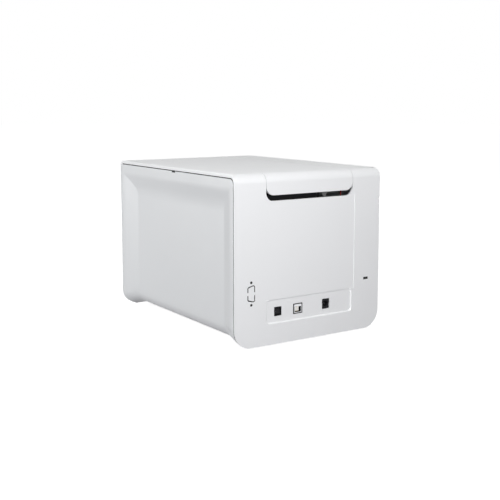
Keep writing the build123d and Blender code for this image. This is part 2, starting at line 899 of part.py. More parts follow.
def stacker_bay():
    """Fixed channel that the output tray slides in."""
    y0 = front_y + wall
    half = card_bay_half + bay_wall
    end = stacker_end_y
    solid = block(-half, half, y0, end, stacker_low_z - bay_wall, stacker_high_z)
    inside = block(-card_bay_half, card_bay_half, y0 - 1, end - bay_wall, stacker_low_z, stacker_high_z + 1)
    exit_slot = block(-card_half, card_half, end - 6, end + 4, stacker_high_z - 12, stacker_high_z + 1)
    return solid - inside - exit_slot


def frame_plate(with_motor):
    """Steel plate of the +X side with bush holes, spool slots and a foot flange."""
    x0 = frame_x
    x1 = frame_x + frame_thick
    foot_y = -66.0
    step_y = -58.0
    face = outline(
        (foot_y, floor_z, 0),
        (frame_low_end_y, floor_z, 0),
        (frame_low_end_y, frame_step_z, 3),
        (frame_rear_y, frame_step_z, 2),
        (frame_rear_y, frame_top_z, 8),
        (step_y, frame_top_z, 2),
        (step_y, frame_front_top_z, 2),
        (frame_front_y, frame_front_top_z, 6),
        (frame_front_y, 34, 4),
        (foot_y, 34, 3),
    )
    solid = slab_x(face, x0, x1)
    flange = block(x0, x1 + 9, foot_y + 2, frame_low_end_y - 2, floor_z, floor_z + frame_thick)
    for y in frame_screw_y:
        flange = flange - rod_z(frame_screw_x, y, screw_hole_radius, 0, 30)
    solid = solid + flange
    holes = [(y, roller_z, bush_radius) for y in (pick_y, drive_front_y, platen_y, drive_rear_y)]
    holes += [(y, pinch_z, pinch_shaft_radius + running_fit) for y in (drive_front_y, drive_rear_y)]
    holes.append((cleaning_y, cleaning_z, shaft_radius + running_fit))
    if with_motor:
        holes.append((motor_y, motor_z, motor_boss_radius + 0.2))
    for y, z, radius in holes:
        solid = solid - rod_x(y, z, radius, x0 - 1, x1 + 1)
    slot_radius = trunnion_radius + 0.3
    for y in (take_up_y, supply_y):
        slot = block(x0 - 1, x1 + 1, y - slot_radius, y + slot_radius, spool_z, above_z)
        solid = solid - slot - rod_x(y, spool_z, slot_radius, x0 - 1, x1 + 1)
    lightening = rounded_rectangle(-94, -74, 44, 88, 6)
    rear_window = rounded_rectangle(60, 106, 68, 94, 6)
    front_window = rounded_rectangle(-54, -26, 32, 84, 6)
    for window in (lightening, rear_window, front_window):
        solid = solid - slab_x(window, x0 - 1, x1 + 1)
    return solid


def rear_cross_plate():
    """Black steel plate that ties the frame plates together behind the card path and keeps
    light out of the ribbon bay, with a notch that the lid's sensor tab swings through."""
    y0 = frame_rear_y
    y1 = y0 + cross_plate_thick
    solid = block(-frame_x, frame_x, y0, y1, cross_plate_low_z, cross_plate_high_z)
    solid = solid - rod_y(0, fan_z, fan_half - 2, y0 - 8, y1 + 10)
    notch = block(sensor_tab_x0 - 1, sensor_tab_x1 + 1, y0 - 1, y1 + 1, sensor_high_z, above_z)
    solid = solid - notch
    ear = block(frame_x - frame_thick, frame_x, cross_ear_y, y0, cross_plate_low_z + 8, frame_top_z - 10)
    return solid + ear + mirror(ear, about=Plane.YZ)


def tie_rods():
    """Three steel rods between the frame plates."""
    return group([rod_x(y, z, tie_rod_radius, -frame_x, frame_x) for y, z in tie_rod_places])


def roller_bushes():
    """Plain bearings for the four lower rollers, two for each."""
    solids = []
    for y in (pick_y, drive_front_y, platen_y, drive_rear_y):
        bush = rod_x(y, roller_z, bush_radius, frame_x, frame_x + frame_thick)
        flange = rod_x(y, roller_z, bush_flange_radius, frame_x - bush_flange_thick, frame_x)
        bore = rod_x(y, roller_z, shaft_radius + running_fit, frame_x - 3, frame_x + 4)
        one = bush + flange - bore
        solids += [one, mirror(one, about=Plane.YZ)]
    return group(solids)


def lower_card_guide():
    """Moulded track under the card, slotted for the rollers."""
    low = card_z - 4
    solid = block(-guide_half, guide_half, guide_front_y, guide_rear_y, low, card_z + 1.2)
    track_half = card_half + 0.4
    solid = solid - block(-track_half, track_half, -far, far, card_z - 0.4, card_z + 4)
    slot_half = card_half + 0.2
    reach = roller_radius + 1.2
    for y in (drive_front_y, platen_y, drive_rear_y):
        solid = solid - block(-slot_half, slot_half, y - reach, y + reach, low - 1, card_z + 1)
    solid = solid - block(-card_half, card_half, cleaning_y - 6, cleaning_y + 6, card_z - 2.0, card_z + 1)
    for y in guide_foot_y:
        for x0, x1 in ((-frame_x, 1 - guide_half), (guide_half - 1, frame_x)):
            solid = solid + block(x0, x1, y - 2, y + 2, low, card_z - 1)
    return solid


def rubber_roller(y, half_sleeve):
    """Lower roller: steel shaft with a rubber sleeve."""
    shaft = rod_x(y, roller_z, shaft_radius, -roller_end_x, pulley_x1 + pulley_side)
    return shaft + rod_x(y, roller_z, roller_radius, -half_sleeve, half_sleeve)


def pulley(y, z, bore):
    """Toothed wheel blank with a side flange, on the belt side."""
    solid = rod_x(y, z, pulley_radius, pulley_x0 + pulley_side, pulley_x1 - pulley_side)
    flange_radius = pulley_radius + pulley_flange
    solid = solid + rod_x(y, z, flange_radius, pulley_x0 - pulley_side, pulley_x0 + pulley_side)
    return solid - rod_x(y, z, bore, pulley_x0 - 2, pulley_x1 + 2)


def pinch_roller(y):
    """Upper idle roller of a transport pair."""
    shaft = rod_x(y, pinch_z, pinch_shaft_radius, -roller_end_x, roller_end_x)
    return shaft + rod_x(y, pinch_z, pinch_radius, -pinch_sleeve_half, pinch_sleeve_half)


def cleaning_roller():
    """Tacky roller that lifts dust off the card."""
    shaft = rod_x(cleaning_y, cleaning_z, shaft_radius, -roller_end_x, roller_end_x)
    return shaft + rod_x(cleaning_y, cleaning_z, cleaning_radius, -card_half, card_half)


def belt_loop(radius):
    """Tight loop round the two end rollers and the motor, seen from the side."""
    circles = Sketch() + Pos(pick_y, roller_z) * Circle(radius)
    circles = circles + Pos(drive_rear_y, roller_z) * Circle(radius)
    circles = circles + Pos(motor_y, motor_z) * Circle(radius)
    return make_hull(circles.edges())


def timing_belt():
    """Toothed belt that turns the four lower rollers together."""
    inner = pulley_radius + belt_clearance
    outer = slab_x(belt_loop(inner + belt_thick), pulley_x0 + 0.9, pulley_x1 - 0.9)
    return outer - slab_x(belt_loop(inner), pulley_x0, pulley_x1)


def feed_motor():
    """Step motor on the inner side of the +X plate."""
    y0 = motor_y - motor_half
    y1 = motor_y + motor_half
    can = block(motor_back_x, frame_x, y0, y1, motor_z - motor_half, motor_z + motor_half)
    boss = rod_x(motor_y, motor_z, motor_boss_radius, frame_x - 1, frame_x + frame_thick + 0.5)
    bore = rod_x(motor_y, motor_z, motor_shaft_radius + running_fit, motor_shaft_start_x - 4, pulley_x1 + 3)
    return can + boss - bore


def feed_motor_pulley():
    """Motor shaft with its belt wheel."""
    shaft = rod_x(motor_y, motor_z, motor_shaft_radius, motor_shaft_start_x, pulley_x1 + pulley_side)
    return shaft + pulley(motor_y, motor_z, 1.0)


def spool(y, roll_radius):
    """Ribbon spool: core with trunnions, two flanges and the wound film."""
    end = frame_x + trunnion_reach
    solid = rod_x(y, spool_z, trunnion_radius, -end, end)
    solid = solid + rod_x(y, spool_z, roll_radius, -film_half, film_half)
    for x0, x1 in ((spool_flange_x0, spool_flange_x1), (-spool_flange_x1, -spool_flange_x0)):
        solid = solid + rod_x(y, spool_z, spool_flange_radius, x0, x1)
    return solid + rod_x(y, spool_z, spool_core_radius, -spool_core_half, spool_core_half)


def take_up_spool():
    """Ribbon spool that winds the used film, with its gear on the -X side."""
    gear = rod_x(take_up_y, spool_z, take_up_gear_radius, gear_x0, gear_x1)
    return spool(take_up_y, used_roll_radius) + gear


def ribbon_film():
    """Printing film from the supply spool, under the head, to the take-up spool."""
    back = [(y, z + film_thick) for y, z in reversed(film_path)]
    corners = [(y, z, 0) for y, z in film_path + back]
    return slab_x(outline(*corners), -film_half, film_half)


def ribbon_motor():
    """Small motor that winds the ribbon, on a plate beside the -X frame."""
    y = ribbon_motor_y
    z = ribbon_motor_z
    half = ribbon_plate_half
    can = rod_x(y, z, ribbon_motor_radius, -86, ribbon_plate_x0)
    plate = block(ribbon_plate_x0, ribbon_plate_x1, y - half, y + half, z - half, z + ribbon_plate_rise)
    solid = can + plate
    for dy, dz in ribbon_post_places:
        solid = solid + rod_x(y + dy, z + dz, ribbon_post_radius, ribbon_plate_x1, -frame_x - frame_thick)
    return solid - rod_x(y, z, ribbon_shaft_radius + running_fit, -75, -50)


def ribbon_motor_gear():
    """Motor shaft with a small gear in mesh with the take-up gear."""
    y = ribbon_motor_y
    z = ribbon_motor_z
    end = gear_x1 - 0.3
    return rod_x(y, z, ribbon_shaft_radius, -72, end) + rod_x(y, z, motor_gear_radius, gear_x0, end)


def main_board():
    """Circuit board that carries the sockets at the rear."""
    low = board_z - board_thick
    board = block(-board_half, board_half, board_front_y, board_rear_y, low, board_z)
    for x, y in board_post_places:
        board = board - rod_z(x, y, screw_hole_radius, low - 2, board_z + 6)
    posts = [rod_z(x, y, board_post_radius, floor_z, low) for x, y in board_post_places]
    return group([board] + posts)


def usb_socket():
    """Square data socket with a tongue inside a metal shell."""
    shell = block(usb_x - usb_half, usb_x + usb_half, usb_back_y, usb_front_y, board_z, usb_top_z)
    shell = shell - usb_mouth()
    tongue = block(usb_x - 2.8, usb_x + 2.8, usb_mouth_y, usb_front_y - 0.6, usb_z - 2.2, usb_z + 1.4)
    return shell + tongue


def usb_mouth():
    """Mouth of the data socket, with its two upper corners cut off."""
    low = usb_z - usb_mouth_low
    high = usb_z + usb_mouth_high
    flat_half = usb_mouth_half - usb_mouth_cut + 0.1
    mouth = outline(
        (usb_x - usb_mouth_half, low, 0),
        (usb_x + usb_mouth_half, low, 0),
        (usb_x + usb_mouth_half, high - usb_mouth_cut, 0),
        (usb_x + flat_half, high, 0),
        (usb_x - flat_half, high, 0),
        (usb_x - usb_mouth_half, high - usb_mouth_cut, 0),
    )
    return slab_y(mouth, usb_mouth_y, rear_cut_y1)


def power_jack():
    """Round low-voltage socket in a square body, with a centre pin."""
    body = block(jack_x - jack_half, jack_x + jack_half, socket_back_y, jack_front_y, board_z, jack_top_z)
    body = body - rod_y(jack_x, jack_z, jack_bore_radius, 145, rear_cut_y1)
    return body + rod_y(jack_x, jack_z, jack_pin_radius, 144, jack_front_y - 0.6)


def power_switch_body():
    """Frame of the rocker switch, standing on the board."""
    x0 = switch_x - switch_half_width
    x1 = switch_x + switch_half_width
    z0 = switch_z - switch_half_height
    z1 = switch_z + switch_half_height
    body = block(x0, x1, socket_back_y, switch_front_y, z0, z1)
    body = body + block(x0, x1, socket_back_y, board_rear_y, board_z, switch_z)
    mouth = block(
        switch_x - switch_mouth_half_width,
        switch_x + switch_mouth_half_width,
        144,
        rear_cut_y1,
        switch_z - switch_mouth_half_height,
        switch_z + switch_mouth_half_height,
    )
    return body - mouth


def power_rocker():
    """Rocker that tips about its middle, on a pivot pin."""
    y = rocker_axis_y
    face = outline(
        (y - 2.0, switch_z - 2.6, 0),
        (y - 2.0, switch_z + 2.6, 0),
        (y + 2.0, switch_z + 3.3, 0),
        (y + 2.3, switch_z + 0.3, 0),
        (y + 3.6, switch_z - 3.3, 0),
    )
    end = rocker_half_width + rocker_pivot_reach
    pivot = rod_x(y, switch_z, rocker_pivot_radius, switch_x - end, switch_x + end)
    return slab_x(face, switch_x - rocker_half_width, switch_x + rocker_half_width) + pivot


def board_components():
    """Capacitors, chips, plug headers, a power block and a coil on the main board."""
    solids = [rod_z(x, 78, 5, board_z, 46) for x in (-44.0, -31.0)]
    solids += [block(-10, 10, 84, 104, board_z, 36.0), block(24, 40, 80, 92, board_z, 36.2)]
    header_width = 12.0
    solids += [block(x, x + header_width, 61, 66, board_z, 41) for x in (-24.0, -8.0, 8.0, 24.0)]
    solids += [block(-52, -40, 104, 120, board_z, 43), rod_z(0, 122, 6, board_z, 39)]
    return group(solids)


def cooling_fan_frame():
    """Square fan housing on the rear cross plate, with its round mouth."""
    hub_y = fan_y0 + 1.6
    low = fan_z - fan_half
    high = fan_z + fan_half
    solid = block(-fan_half, fan_half, fan_y0, fan_y1, low, high)
    solid = solid - rod_y(0, fan_z, fan_bore_radius, fan_y0 - 1, fan_y1 + 1)
    hub = rod_y(0, fan_z, fan_hub_radius, fan_y0, hub_y)
    arms = block(-fan_half, fan_half, fan_y0, hub_y, fan_z - fan_arm, fan_z + fan_arm)
    arms = arms + block(-fan_arm, fan_arm, fan_y0, hub_y, low, high)
    return solid + hub + arms


def fan_rotor():
    """Hub with seven slanted blades."""
    middle_y = (rotor_y0 + rotor_y1) / 2
    solid = rod_y(0, fan_z, fan_hub_radius, rotor_y0, rotor_y1)
    for turn in range(blade_count):
        blade = Pos(blade_reach, 0, 0) * Rot(blade_slant, 0, 0) * Box(9.6, 0.9, 5.4)
        solid = solid + Pos(0, middle_y, fan_z) * Rot(0, turn * 360 / blade_count, 0) * blade
    return solid


def lid_sensor():
    """Small grey switch behind the cross plate that tells whether the lid is closed."""
    body = block(sensor_x0, sensor_x1, sensor_y0, sensor_y1, sensor_low_z, sensor_high_z)
    lever = block(sensor_x0 + 1, sensor_x0 + 2, sensor_y1, sensor_y1 + 1.7, 150, sensor_high_z + 1)
    return body + lever


def wire(points, radius, bends):
    """Round wire along straight runs joined by arcs."""
    path = FilletPolyline(*points, radius=bends)
    return sweep(path=path, sections=Plane(origin=path @ 0, z_dir=path % 0) * Circle(radius))


def sensor_wires():
    """Two thin wires from the board to the lid sensor, and a ground wire to the hinge bracket."""
    wires = []
    for x, end_y in ((-53.0, 121.0), (-55.2, 123.0)):
        points = [(x, wire_y, board_z), (x, wire_y, 148), (x, end_y, 156), (sensor_x0, end_y, 156)]
        wires.append(wire(points, wire_radius, [3.5, 3.0]))
    x = ground_wire_x
    y = ground_wire_y
    points = [(-58.0, wire_y, board_z), (-58.0, wire_y, 60), (x, y, 75), (x, y, hinge_z - bracket_drop)]
    wires.append(wire(points, wire_radius, [5.0, 5.0]))
    return group(wires)


def head_carrier():
    """Bracket under the lid that holds the print head between two arms."""
    arm_x0 = carrier_half - carrier_arm
    solid = block(-carrier_half, carrier_half, -4, 22, carrier_z0, carrier_z1)
    for x0, x1 in ((arm_x0, carrier_half), (-carrier_half, -arm_x0)):
        solid = solid + block(x0, x1, -2, 16, carrier_arm_low_z, top_z - wall)
    return solid


def print_head():
    """Heater strip on its metal block."""
    strip = block(-28, 28, -1, 13, strip_low_z, strip_high_z)
    return strip + block(-head_half, head_half, head_front_y, head_rear_y, strip_high_z, head_top_z)


def head_heatsink():
    """Finned aluminium block on top of the head."""
    solid = block(-sink_half, sink_half, sink_front_y, sink_rear_y, head_top_z, sink_base_z)
    for index in range(fin_count):
        x = index * fin_pitch - sink_half
        solid = solid + block(x, x + fin_thick, sink_front_y, sink_rear_y, sink_base_z, fin_top_z)
    return solid


def head_springs():
    """Two compression springs between the bracket and the heat sink."""
    places = (-spring_x, spring_x)
    return group([rod_z(x, spring_y, spring_radius, spring_low_z, carrier_z0) for x in places])


def screw(x, y, z, axis, length):
    """Pan head screw, its head standing proud along the axis."""
    recess_long = 3.0
    recess_wide = 0.7
    head = Cylinder(head_radius, head_height, align=(Align.CENTER, Align.CENTER, Align.MIN))
    recess = Box(recess_long, recess_wide, 1.6) + Box(recess_wide, recess_long, 1.6)
    shank = Pos(0, 0, -length / 2) * Cylinder(screw_shank_radius, length)
    solid = head - Pos(0, 0, 1.1) * recess + shank
    turns = {"down": Rot(180, 0, 0), "up": Rot(0, 0, 0)}
    return Pos(x, y, z) * turns[axis] * solid


def pan_head_screws():
    """Screws under the base that hold the case, and screws of the frame flanges into the tray."""
    flange_z = floor_z + frame_thick
    screws = []
    for side in (-1, 1):
        for y in case_screw_y:
            screws.append(screw(side * case_screw_x, y, raised_z, "down", case_screw_length))
        for y in frame_screw_y:
            screws.append(screw(side * frame_screw_x, y, flange_z, "up", frame_screw_length))
    return group(screws)


def build_all():
    """Name every piece and build it."""
    right_cover = side_cover()
    rear_plate = rear_cross_plate()
    return {
        "base_tray": base_tray(),
        "rubber_feet": rubber_feet(),
        "top_and_rear_cover": top_and_rear_cover(),
        "knock_out_caps": knock_out_caps(),
        "side_cover_right": right_cover,
        "side_cover_left": mirror(right_cover, about=Plane.YZ),
        "front_cover": front_cover(),
        "lid": lid(),
        "lid_hinge_pins": lid_hinge_pins(),
        "lid_hinge_brackets": lid_hinge_brackets(),
        "control_button": control_button(),
        "light_guides": light_guides(),
        "front_board": front_board(),
        "hopper_housing": hopper_housing(),
        "feeder_door": feeder_door(),
        "feeder_tray": feeder_tray(),
        "card_weight": card_weight(),
        "card_gauge": card_gauge(),
        "output_tray": output_tray(),
        "stacker_bay": stacker_bay(),
        "frame_right": frame_plate(True),
        "frame_left": mirror(frame_plate(False), about=Plane.YZ),
        "rear_cross_plate": rear_plate,
        "tie_rods": tie_rods(),
        "roller_bushes": roller_bushes(),
        "lower_card_guide": lower_card_guide(),
        "pick_roller": rubber_roller(pick_y, pick_sleeve_half),
        "front_drive_roller": rubber_roller(drive_front_y, drive_sleeve_half),
        "platen_roller": rubber_roller(platen_y, platen_sleeve_half),
        "rear_drive_roller": rubber_roller(drive_rear_y, drive_sleeve_half),
        "pick_pulley": pulley(pick_y, roller_z, shaft_radius),
        "front_drive_pulley": pulley(drive_front_y, roller_z, shaft_radius),
        "platen_pulley": pulley(platen_y, roller_z, shaft_radius),
        "rear_drive_pulley": pulley(drive_rear_y, roller_z, shaft_radius),
        "front_pinch_roller": pinch_roller(drive_front_y),
        "rear_pinch_roller": pinch_roller(drive_rear_y),
        "cleaning_roller": cleaning_roller(),
        "timing_belt": timing_belt(),
        "feed_motor": feed_motor(),
        "feed_motor_pulley": feed_motor_pulley(),
        "supply_spool": spool(supply_y, full_roll_radius),
        "take_up_spool": take_up_spool(),
        "ribbon_film": ribbon_film(),
        "ribbon_motor": ribbon_motor(),
        "ribbon_motor_gear": ribbon_motor_gear(),
        "main_board": main_board(),
        "usb_socket": usb_socket(),
        "power_jack": power_jack(),
        "power_switch_body": power_switch_body(),
        "power_rocker": power_rocker(),
        "board_components": board_components(),
        "cooling_fan_frame": cooling_fan_frame(),
        "fan_rotor": fan_rotor(),
        "lid_sensor": lid_sensor(),
        "sensor_wires": sensor_wires(),
        "head_carrier": head_carrier(),
        "print_head": print_head(),
        "head_heatsink": head_heatsink(),
        "head_springs": head_springs(),
        "pan_head_screws": pan_head_screws(),
    }


os.makedirs("parts", exist_ok=True)
for name, solid in build_all().items():
    export_step(solid, f"parts/{name}.step")
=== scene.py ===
"""Looks of a white desktop card printer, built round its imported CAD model."""

import json
import math

import bmesh
import bpy
import numpy as np
from bpy.props import FloatProperty, FloatVectorProperty, PointerProperty
from bpy.types import Operator, Panel, PropertyGroup
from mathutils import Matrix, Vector

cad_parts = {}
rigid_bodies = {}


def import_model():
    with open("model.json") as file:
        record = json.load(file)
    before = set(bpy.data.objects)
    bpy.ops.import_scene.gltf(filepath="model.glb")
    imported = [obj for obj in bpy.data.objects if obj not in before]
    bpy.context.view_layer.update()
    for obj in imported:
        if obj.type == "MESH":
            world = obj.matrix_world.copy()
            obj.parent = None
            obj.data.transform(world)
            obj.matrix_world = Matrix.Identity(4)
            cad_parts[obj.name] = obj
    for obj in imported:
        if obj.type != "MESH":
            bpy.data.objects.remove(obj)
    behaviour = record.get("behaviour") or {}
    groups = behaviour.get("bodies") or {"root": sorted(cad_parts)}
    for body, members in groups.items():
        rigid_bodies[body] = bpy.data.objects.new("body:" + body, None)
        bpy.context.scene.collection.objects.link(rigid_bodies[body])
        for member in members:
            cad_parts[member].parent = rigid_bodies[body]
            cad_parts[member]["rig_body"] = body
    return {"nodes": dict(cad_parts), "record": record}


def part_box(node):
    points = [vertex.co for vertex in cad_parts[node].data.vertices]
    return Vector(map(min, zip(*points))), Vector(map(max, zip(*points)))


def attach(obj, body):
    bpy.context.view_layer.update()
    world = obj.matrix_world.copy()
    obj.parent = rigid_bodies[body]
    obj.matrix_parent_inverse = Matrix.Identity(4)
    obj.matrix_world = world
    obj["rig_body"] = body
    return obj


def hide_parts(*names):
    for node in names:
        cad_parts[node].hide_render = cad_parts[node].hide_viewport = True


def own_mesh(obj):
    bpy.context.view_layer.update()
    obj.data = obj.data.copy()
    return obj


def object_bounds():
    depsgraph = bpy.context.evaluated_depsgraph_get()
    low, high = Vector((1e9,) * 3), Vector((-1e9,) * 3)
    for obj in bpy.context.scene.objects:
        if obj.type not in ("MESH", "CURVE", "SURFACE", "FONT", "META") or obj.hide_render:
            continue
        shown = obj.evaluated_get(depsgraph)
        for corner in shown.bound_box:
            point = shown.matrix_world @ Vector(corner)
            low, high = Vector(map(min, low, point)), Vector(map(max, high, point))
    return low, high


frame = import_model()

bl_info = {
    "name": "Card Printer Parts",
    "version": (1, 0, 0),
    "blender": (4, 5, 0),
    "location": "3D View > Sidebar > Card Printer",
    "description": "Builds the covers, sockets and inner parts of a desktop card printer",
    "category": "Object",
}

MILLIMETRE = 0.001
NODES = frame["nodes"]
SLOT_OF = {part["node"]: part["material_slot"] for part in frame["record"]["subparts"]}
RECORD_COLOUR = {m["slot"]: m["base_color"][:3] for m in frame["record"]["materials"]}
CAD_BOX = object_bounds()
SIDE_LOW, SIDE_HIGH = (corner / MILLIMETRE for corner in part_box("side_cover_right"))

# Side cover, in millimetres: radii of its edges, where its ramps and the slopes of its dish begin
# and end, and how softly the rear and front slopes meet its floor
FOOT_ROUND, RAISED_ROUND, TAIL_ROUND = 17.6, 14.3, 16.3
FRONT_ROUND, FRONT_TOP_ROUND, SEAM_CORNER, EDGE_ROUND = 3.9, 8.0, 6.0, 1.2
FRONT_EDGE_ROUND, REAR_EDGE_ROUND = 0.8, 0.6
RAMP_START, RAMP_END, TAIL_START, TAIL_HEIGHT = -117.7, -79.9, 130.0, 6.3
DISH_FRONT, DISH_REAR, DISH_TOP = (-113.7, -82.0), (128.0, 146.0), (160.0, 178.0)
REAR_SOFTNESS, FRONT_SOFTNESS = 0.5, 0.12
NOTCH_START, NOTCH_END, NOTCH_DEPTH = 17.0, 25.0, 1.8
FRONT_CROWN, CROWN_WIDTH = 0.8, 12.0
FRONT_GROOVE, GROOVE_HALF, GROOVE_DEPTH = 2.5, 0.45, 1.3

# Seam round each side cover, in millimetres: its gap above and behind, the black strip in it, which is
# painted shade for the dark of the gap, and the round lower corner of the rear wall beside it
SEAM_GAP_TOP, SEAM_GAP_REAR = 0.8, 1.3
SEAM_SHADE_RECESS, SEAM_SHADE_REAR_RECESS, SEAM_SHADE_DEPTH, SEAM_SHADE_LAP = 0.15, 0.33, 2.0, 0.3
SEAM_SHADE_BEND_END, SEAM_SHADE_DROP_START, SEAM_SHADE_END = 40.0, 38.0, 8.5
PANEL_ROUND, PANEL_LOW = 21.5, 3.0

# Rear wall, in millimetres: the middles of the knock-out and the lock slot, half the sizes of the
# black plates behind them, which are painted shade for the dark inside them, and the depth of the recess
# round the sockets
KNOCK_OUT_X, KNOCK_OUT_Z, KNOCK_OUT_SCREWS = 80.5, 63.9, 25.0
LOCK_X, LOCK_Z = -82.4, 63.8
KNOCK_OUT_SHADE_PLATE, LOCK_SHADE_PLATE, SCREW_SHADE_PLATE = (4.9, 9.3), (3.45, 1.45), 1.5
SHADE_PLATE_RECESS, SHADE_PLATE_THICKNESS, PORT_DEPTH = 0.05, 0.8, 1.4

# Inner works, in millimetres
COVER_WALL, BUTTON_RADIUS, BUTTON_PROUD, BUTTON_GAP = 2.5, 5.0, 1.6, 0.2
FRAME_X = 46.0
TIE_ROD_RADIUS, TIE_ROD_PLACES = 2.5, ((-97.0, 158.0), (-46.0, 26.0), (99.0, 103.0))
HINGE_PIN_START = 53.0
FOOT_PAD_RADIUS, FOOT_PLACES = 6.5, ((-58, -106), (58, -106), (-45, 130), (45, 130))
CASE_SCREW_X, CASE_SCREW_Y, CASE_SCREW_Z = 70.0, (-40.0, 20.0, 110.0), 13.2
FRAME_SCREW_X, FRAME_SCREW_Y, FRAME_SCREW_Z = 52.0, (-58.0, -22.0, 14.0), 17.2
LOWER_ROLLERS = ("pick_roller", "front_drive_roller", "platen_roller", "rear_drive_roller")
PULLEYS = ("pick_pulley", "front_drive_pulley", "platen_pulley", "rear_drive_pulley")
PULLEY_TEETH, BELT_PITCH = 20, 2.04
# For each roller: half the sleeve's length, the shaft's radius, its grooves and the sleeve's slot
ROLLERS = {
    "pick_roller": (15.0, 3.0, 5, "grey_rubber"),
    "front_drive_roller": (25.0, 3.0, 7, "grey_rubber"),
    "platen_roller": (26.5, 3.0, 0, "rubber"),
    "rear_drive_roller": (25.0, 3.0, 7, "grey_rubber"),
    "front_pinch_roller": (24.0, 2.5, 0, "bright_steel"),
    "rear_pinch_roller": (24.0, 2.5, 0, "bright_steel"),
    "cleaning_roller": (27.0, 3.0, 0, "blue_tacky_rubber"),
}
# For each spool, the radius of its wound film
SPOOLS = {"supply_spool": 15.0, "take_up_spool": 10.0}
TRUNNION_RADIUS, CORE_RADIUS, FLANGE_RADIUS = 5.7, 7.5, 14.0
CORE_HALF, FILM_HALF, FILM_TURN = 38.0, 29.0, 0.6
TAKE_UP_TEETH, MOTOR_TEETH, TOOTH_NARROWING = 38, 26, 0.35
HEAD_TRAVEL, SPRING_WIRE, SPRING_TURNS = 2.0, 0.5, 6
MOTOR_SHAFT_RADIUS, MOTOR_BOSS_RADIUS = 2.5, 11.0
FAN_HEIGHT, FAN_BLADES, BLADE_HALF_THICKNESS = 100, 7, 0.35
CAPACITORS_X, CAPACITORS_Y, HEADERS_X, HEADERS_Y = (-44.0, -31.0), 78, (-24.0, -8.0, 8.0, 24.0), 63.5
CHIP_LEGS, LEG_LENGTH, HEADER_PINS = 14, 1.4, 5

# Joining of points, in metres
WELD = 0.002 * MILLIMETRE


# Meshes


def new_piece(name, mesh, material, body, replaces=()):
    """Puts a finished mesh in the scene as a piece that rides on a body and stands for CAD nodes."""
    piece = bpy.data.objects.new(name, mesh)
    bpy.context.scene.collection.objects.link(piece)
    mesh.materials.clear()
    mesh.materials.append(material)
    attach(piece, body)
    if replaces:
        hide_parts(*replaces)
    return piece


def mesh_of(name, points, faces, crease=30.0):
    """Mesh of points in millimetres and faces by number, smooth but for edges sharper than the crease."""
    mesh = bpy.data.meshes.new(name)
    mesh.from_pydata((np.asarray(points) * MILLIMETRE).tolist(), [], np.asarray(faces).tolist())
    tidy(mesh)
    mesh.shade_smooth()
    mesh.set_sharp_from_angle(angle=math.radians(crease))
    return mesh


def tidy(mesh):
    """Joins points that meet and drops faces that have no area."""
    work = bmesh.new()
    work.from_mesh(mesh)
    bmesh.ops.remove_doubles(work, verts=work.verts, dist=WELD)
    bmesh.ops.dissolve_degenerate(work, edges=work.edges, dist=WELD / 4)
    work.to_mesh(mesh)
    work.free()


def quads(index):
    """Four-sided faces between the numbers of a grid's neighbouring points."""
    faces = np.stack([index[:-1, :-1], index[:-1, 1:], index[1:, 1:], index[1:, :-1]], axis=-1)
    return faces.reshape(-1, 4)


def closed_wall(outer, inner, flip=False):
    """Points and faces of a wall between two grids of the same size, closed round its rim."""
    rows, columns = outer.shape[:2]
    index = np.arange(rows * columns).reshape(rows, columns)
    rim_out = np.concatenate([index[0, :], index[1:, -1], index[-1, -2::-1], index[-2:0:-1, 0]])
    rim_in = rim_out + index.size
    rim = np.stack([rim_out, rim_in, np.roll(rim_in, -1), np.roll(rim_out, -1)], axis=-1)
    faces = np.concatenate([quads(index), quads(index + index.size)[:, ::-1], rim])
    points = np.concatenate([outer.reshape(-1, 3), inner.reshape(-1, 3)])
    return points, faces[:, ::-1] if flip else faces


def rounded_path(corners, steps=8):
    """Open path through corners given as (across, up, rounding): each corner becomes an arc that
    touches both of its runs, its centre on their bisector."""
    spots = np.array([corner[:2] for corner in corners], float)
    path = [spots[:1]]
    for before, here, after, corner in zip(spots, spots[1:], spots[2:], corners[1:]):
        radius = corner[2]
        if radius <= 0:
            path.append(here[None])
            continue
        back, ahead = before - here, after - here
        back, ahead = back / np.hypot(*back), ahead / np.hypot(*ahead)
        half = np.arccos(np.clip(back @ ahead, -1, 1)) / 2
        middle = back + ahead
        centre = here + middle / np.hypot(*middle) * radius / np.sin(half)
        start = here + back * radius / np.tan(half) - centre
        turn = np.pi - 2 * half
        way = np.sign(back[1] * ahead[0] - back[0] * ahead[1])
        angle = way * turn * np.linspace(0, 1, steps + 1)[:, None]
        side = np.array([-start[1], start[0]])
        path.append(centre + start * np.cos(angle) + side * np.sin(angle))
    path.append(spots[-1:])
    return np.concatenate(path)


def outward(points, faces):
    """Faces of a closed shape turned to point out: its volume, added up from the pyramids that
    each face makes with the origin, is positive then."""
    one, two, three, four = (points[faces[:, corner]] for corner in range(4))
    volume = np.einsum("ij,ij->", one, np.cross(two, three) + np.cross(three, four))
    return points, faces if volume > 0 else faces[:, ::-1]


def woven(grid, round_rows=False, round_columns=False):
    """Points and outward faces of a closed grid of points. A round way joins its last line to its
    first."""
    rows, columns = grid.shape[:2]
    index = np.arange(rows * columns).reshape(rows, columns)
    if round_rows:
        index = np.concatenate([index, index[:1]])
    if round_columns:
        index = np.concatenate([index, index[:, :1]], axis=1)
    return outward(grid.reshape(-1, 3), quads(index))


def together(shapes):
    """Several shapes as one list of points and faces."""
    points, faces = zip(*shapes)
    starts = np.cumsum([0, *map(len, points[:-1])])
    return np.concatenate(points), np.concatenate([one + start for one, start in zip(faces, starts)])


def moved(shape, x=0.0, y=0.0, z=0.0):
    """The shape at another place."""
    return shape[0] + np.array([x, y, z]), shape[1]


def along_axis(along, across, up, axis):
    """Points whose first measure runs along the named axis and whose others follow it in turn."""
    order = {"x": (0, 1, 2), "y": (2, 0, 1), "z": (1, 2, 0)}[axis]
    measures = np.broadcast_arrays(along, across, up)
    return np.stack([measures[place] for place in order], axis=-1).astype(float)


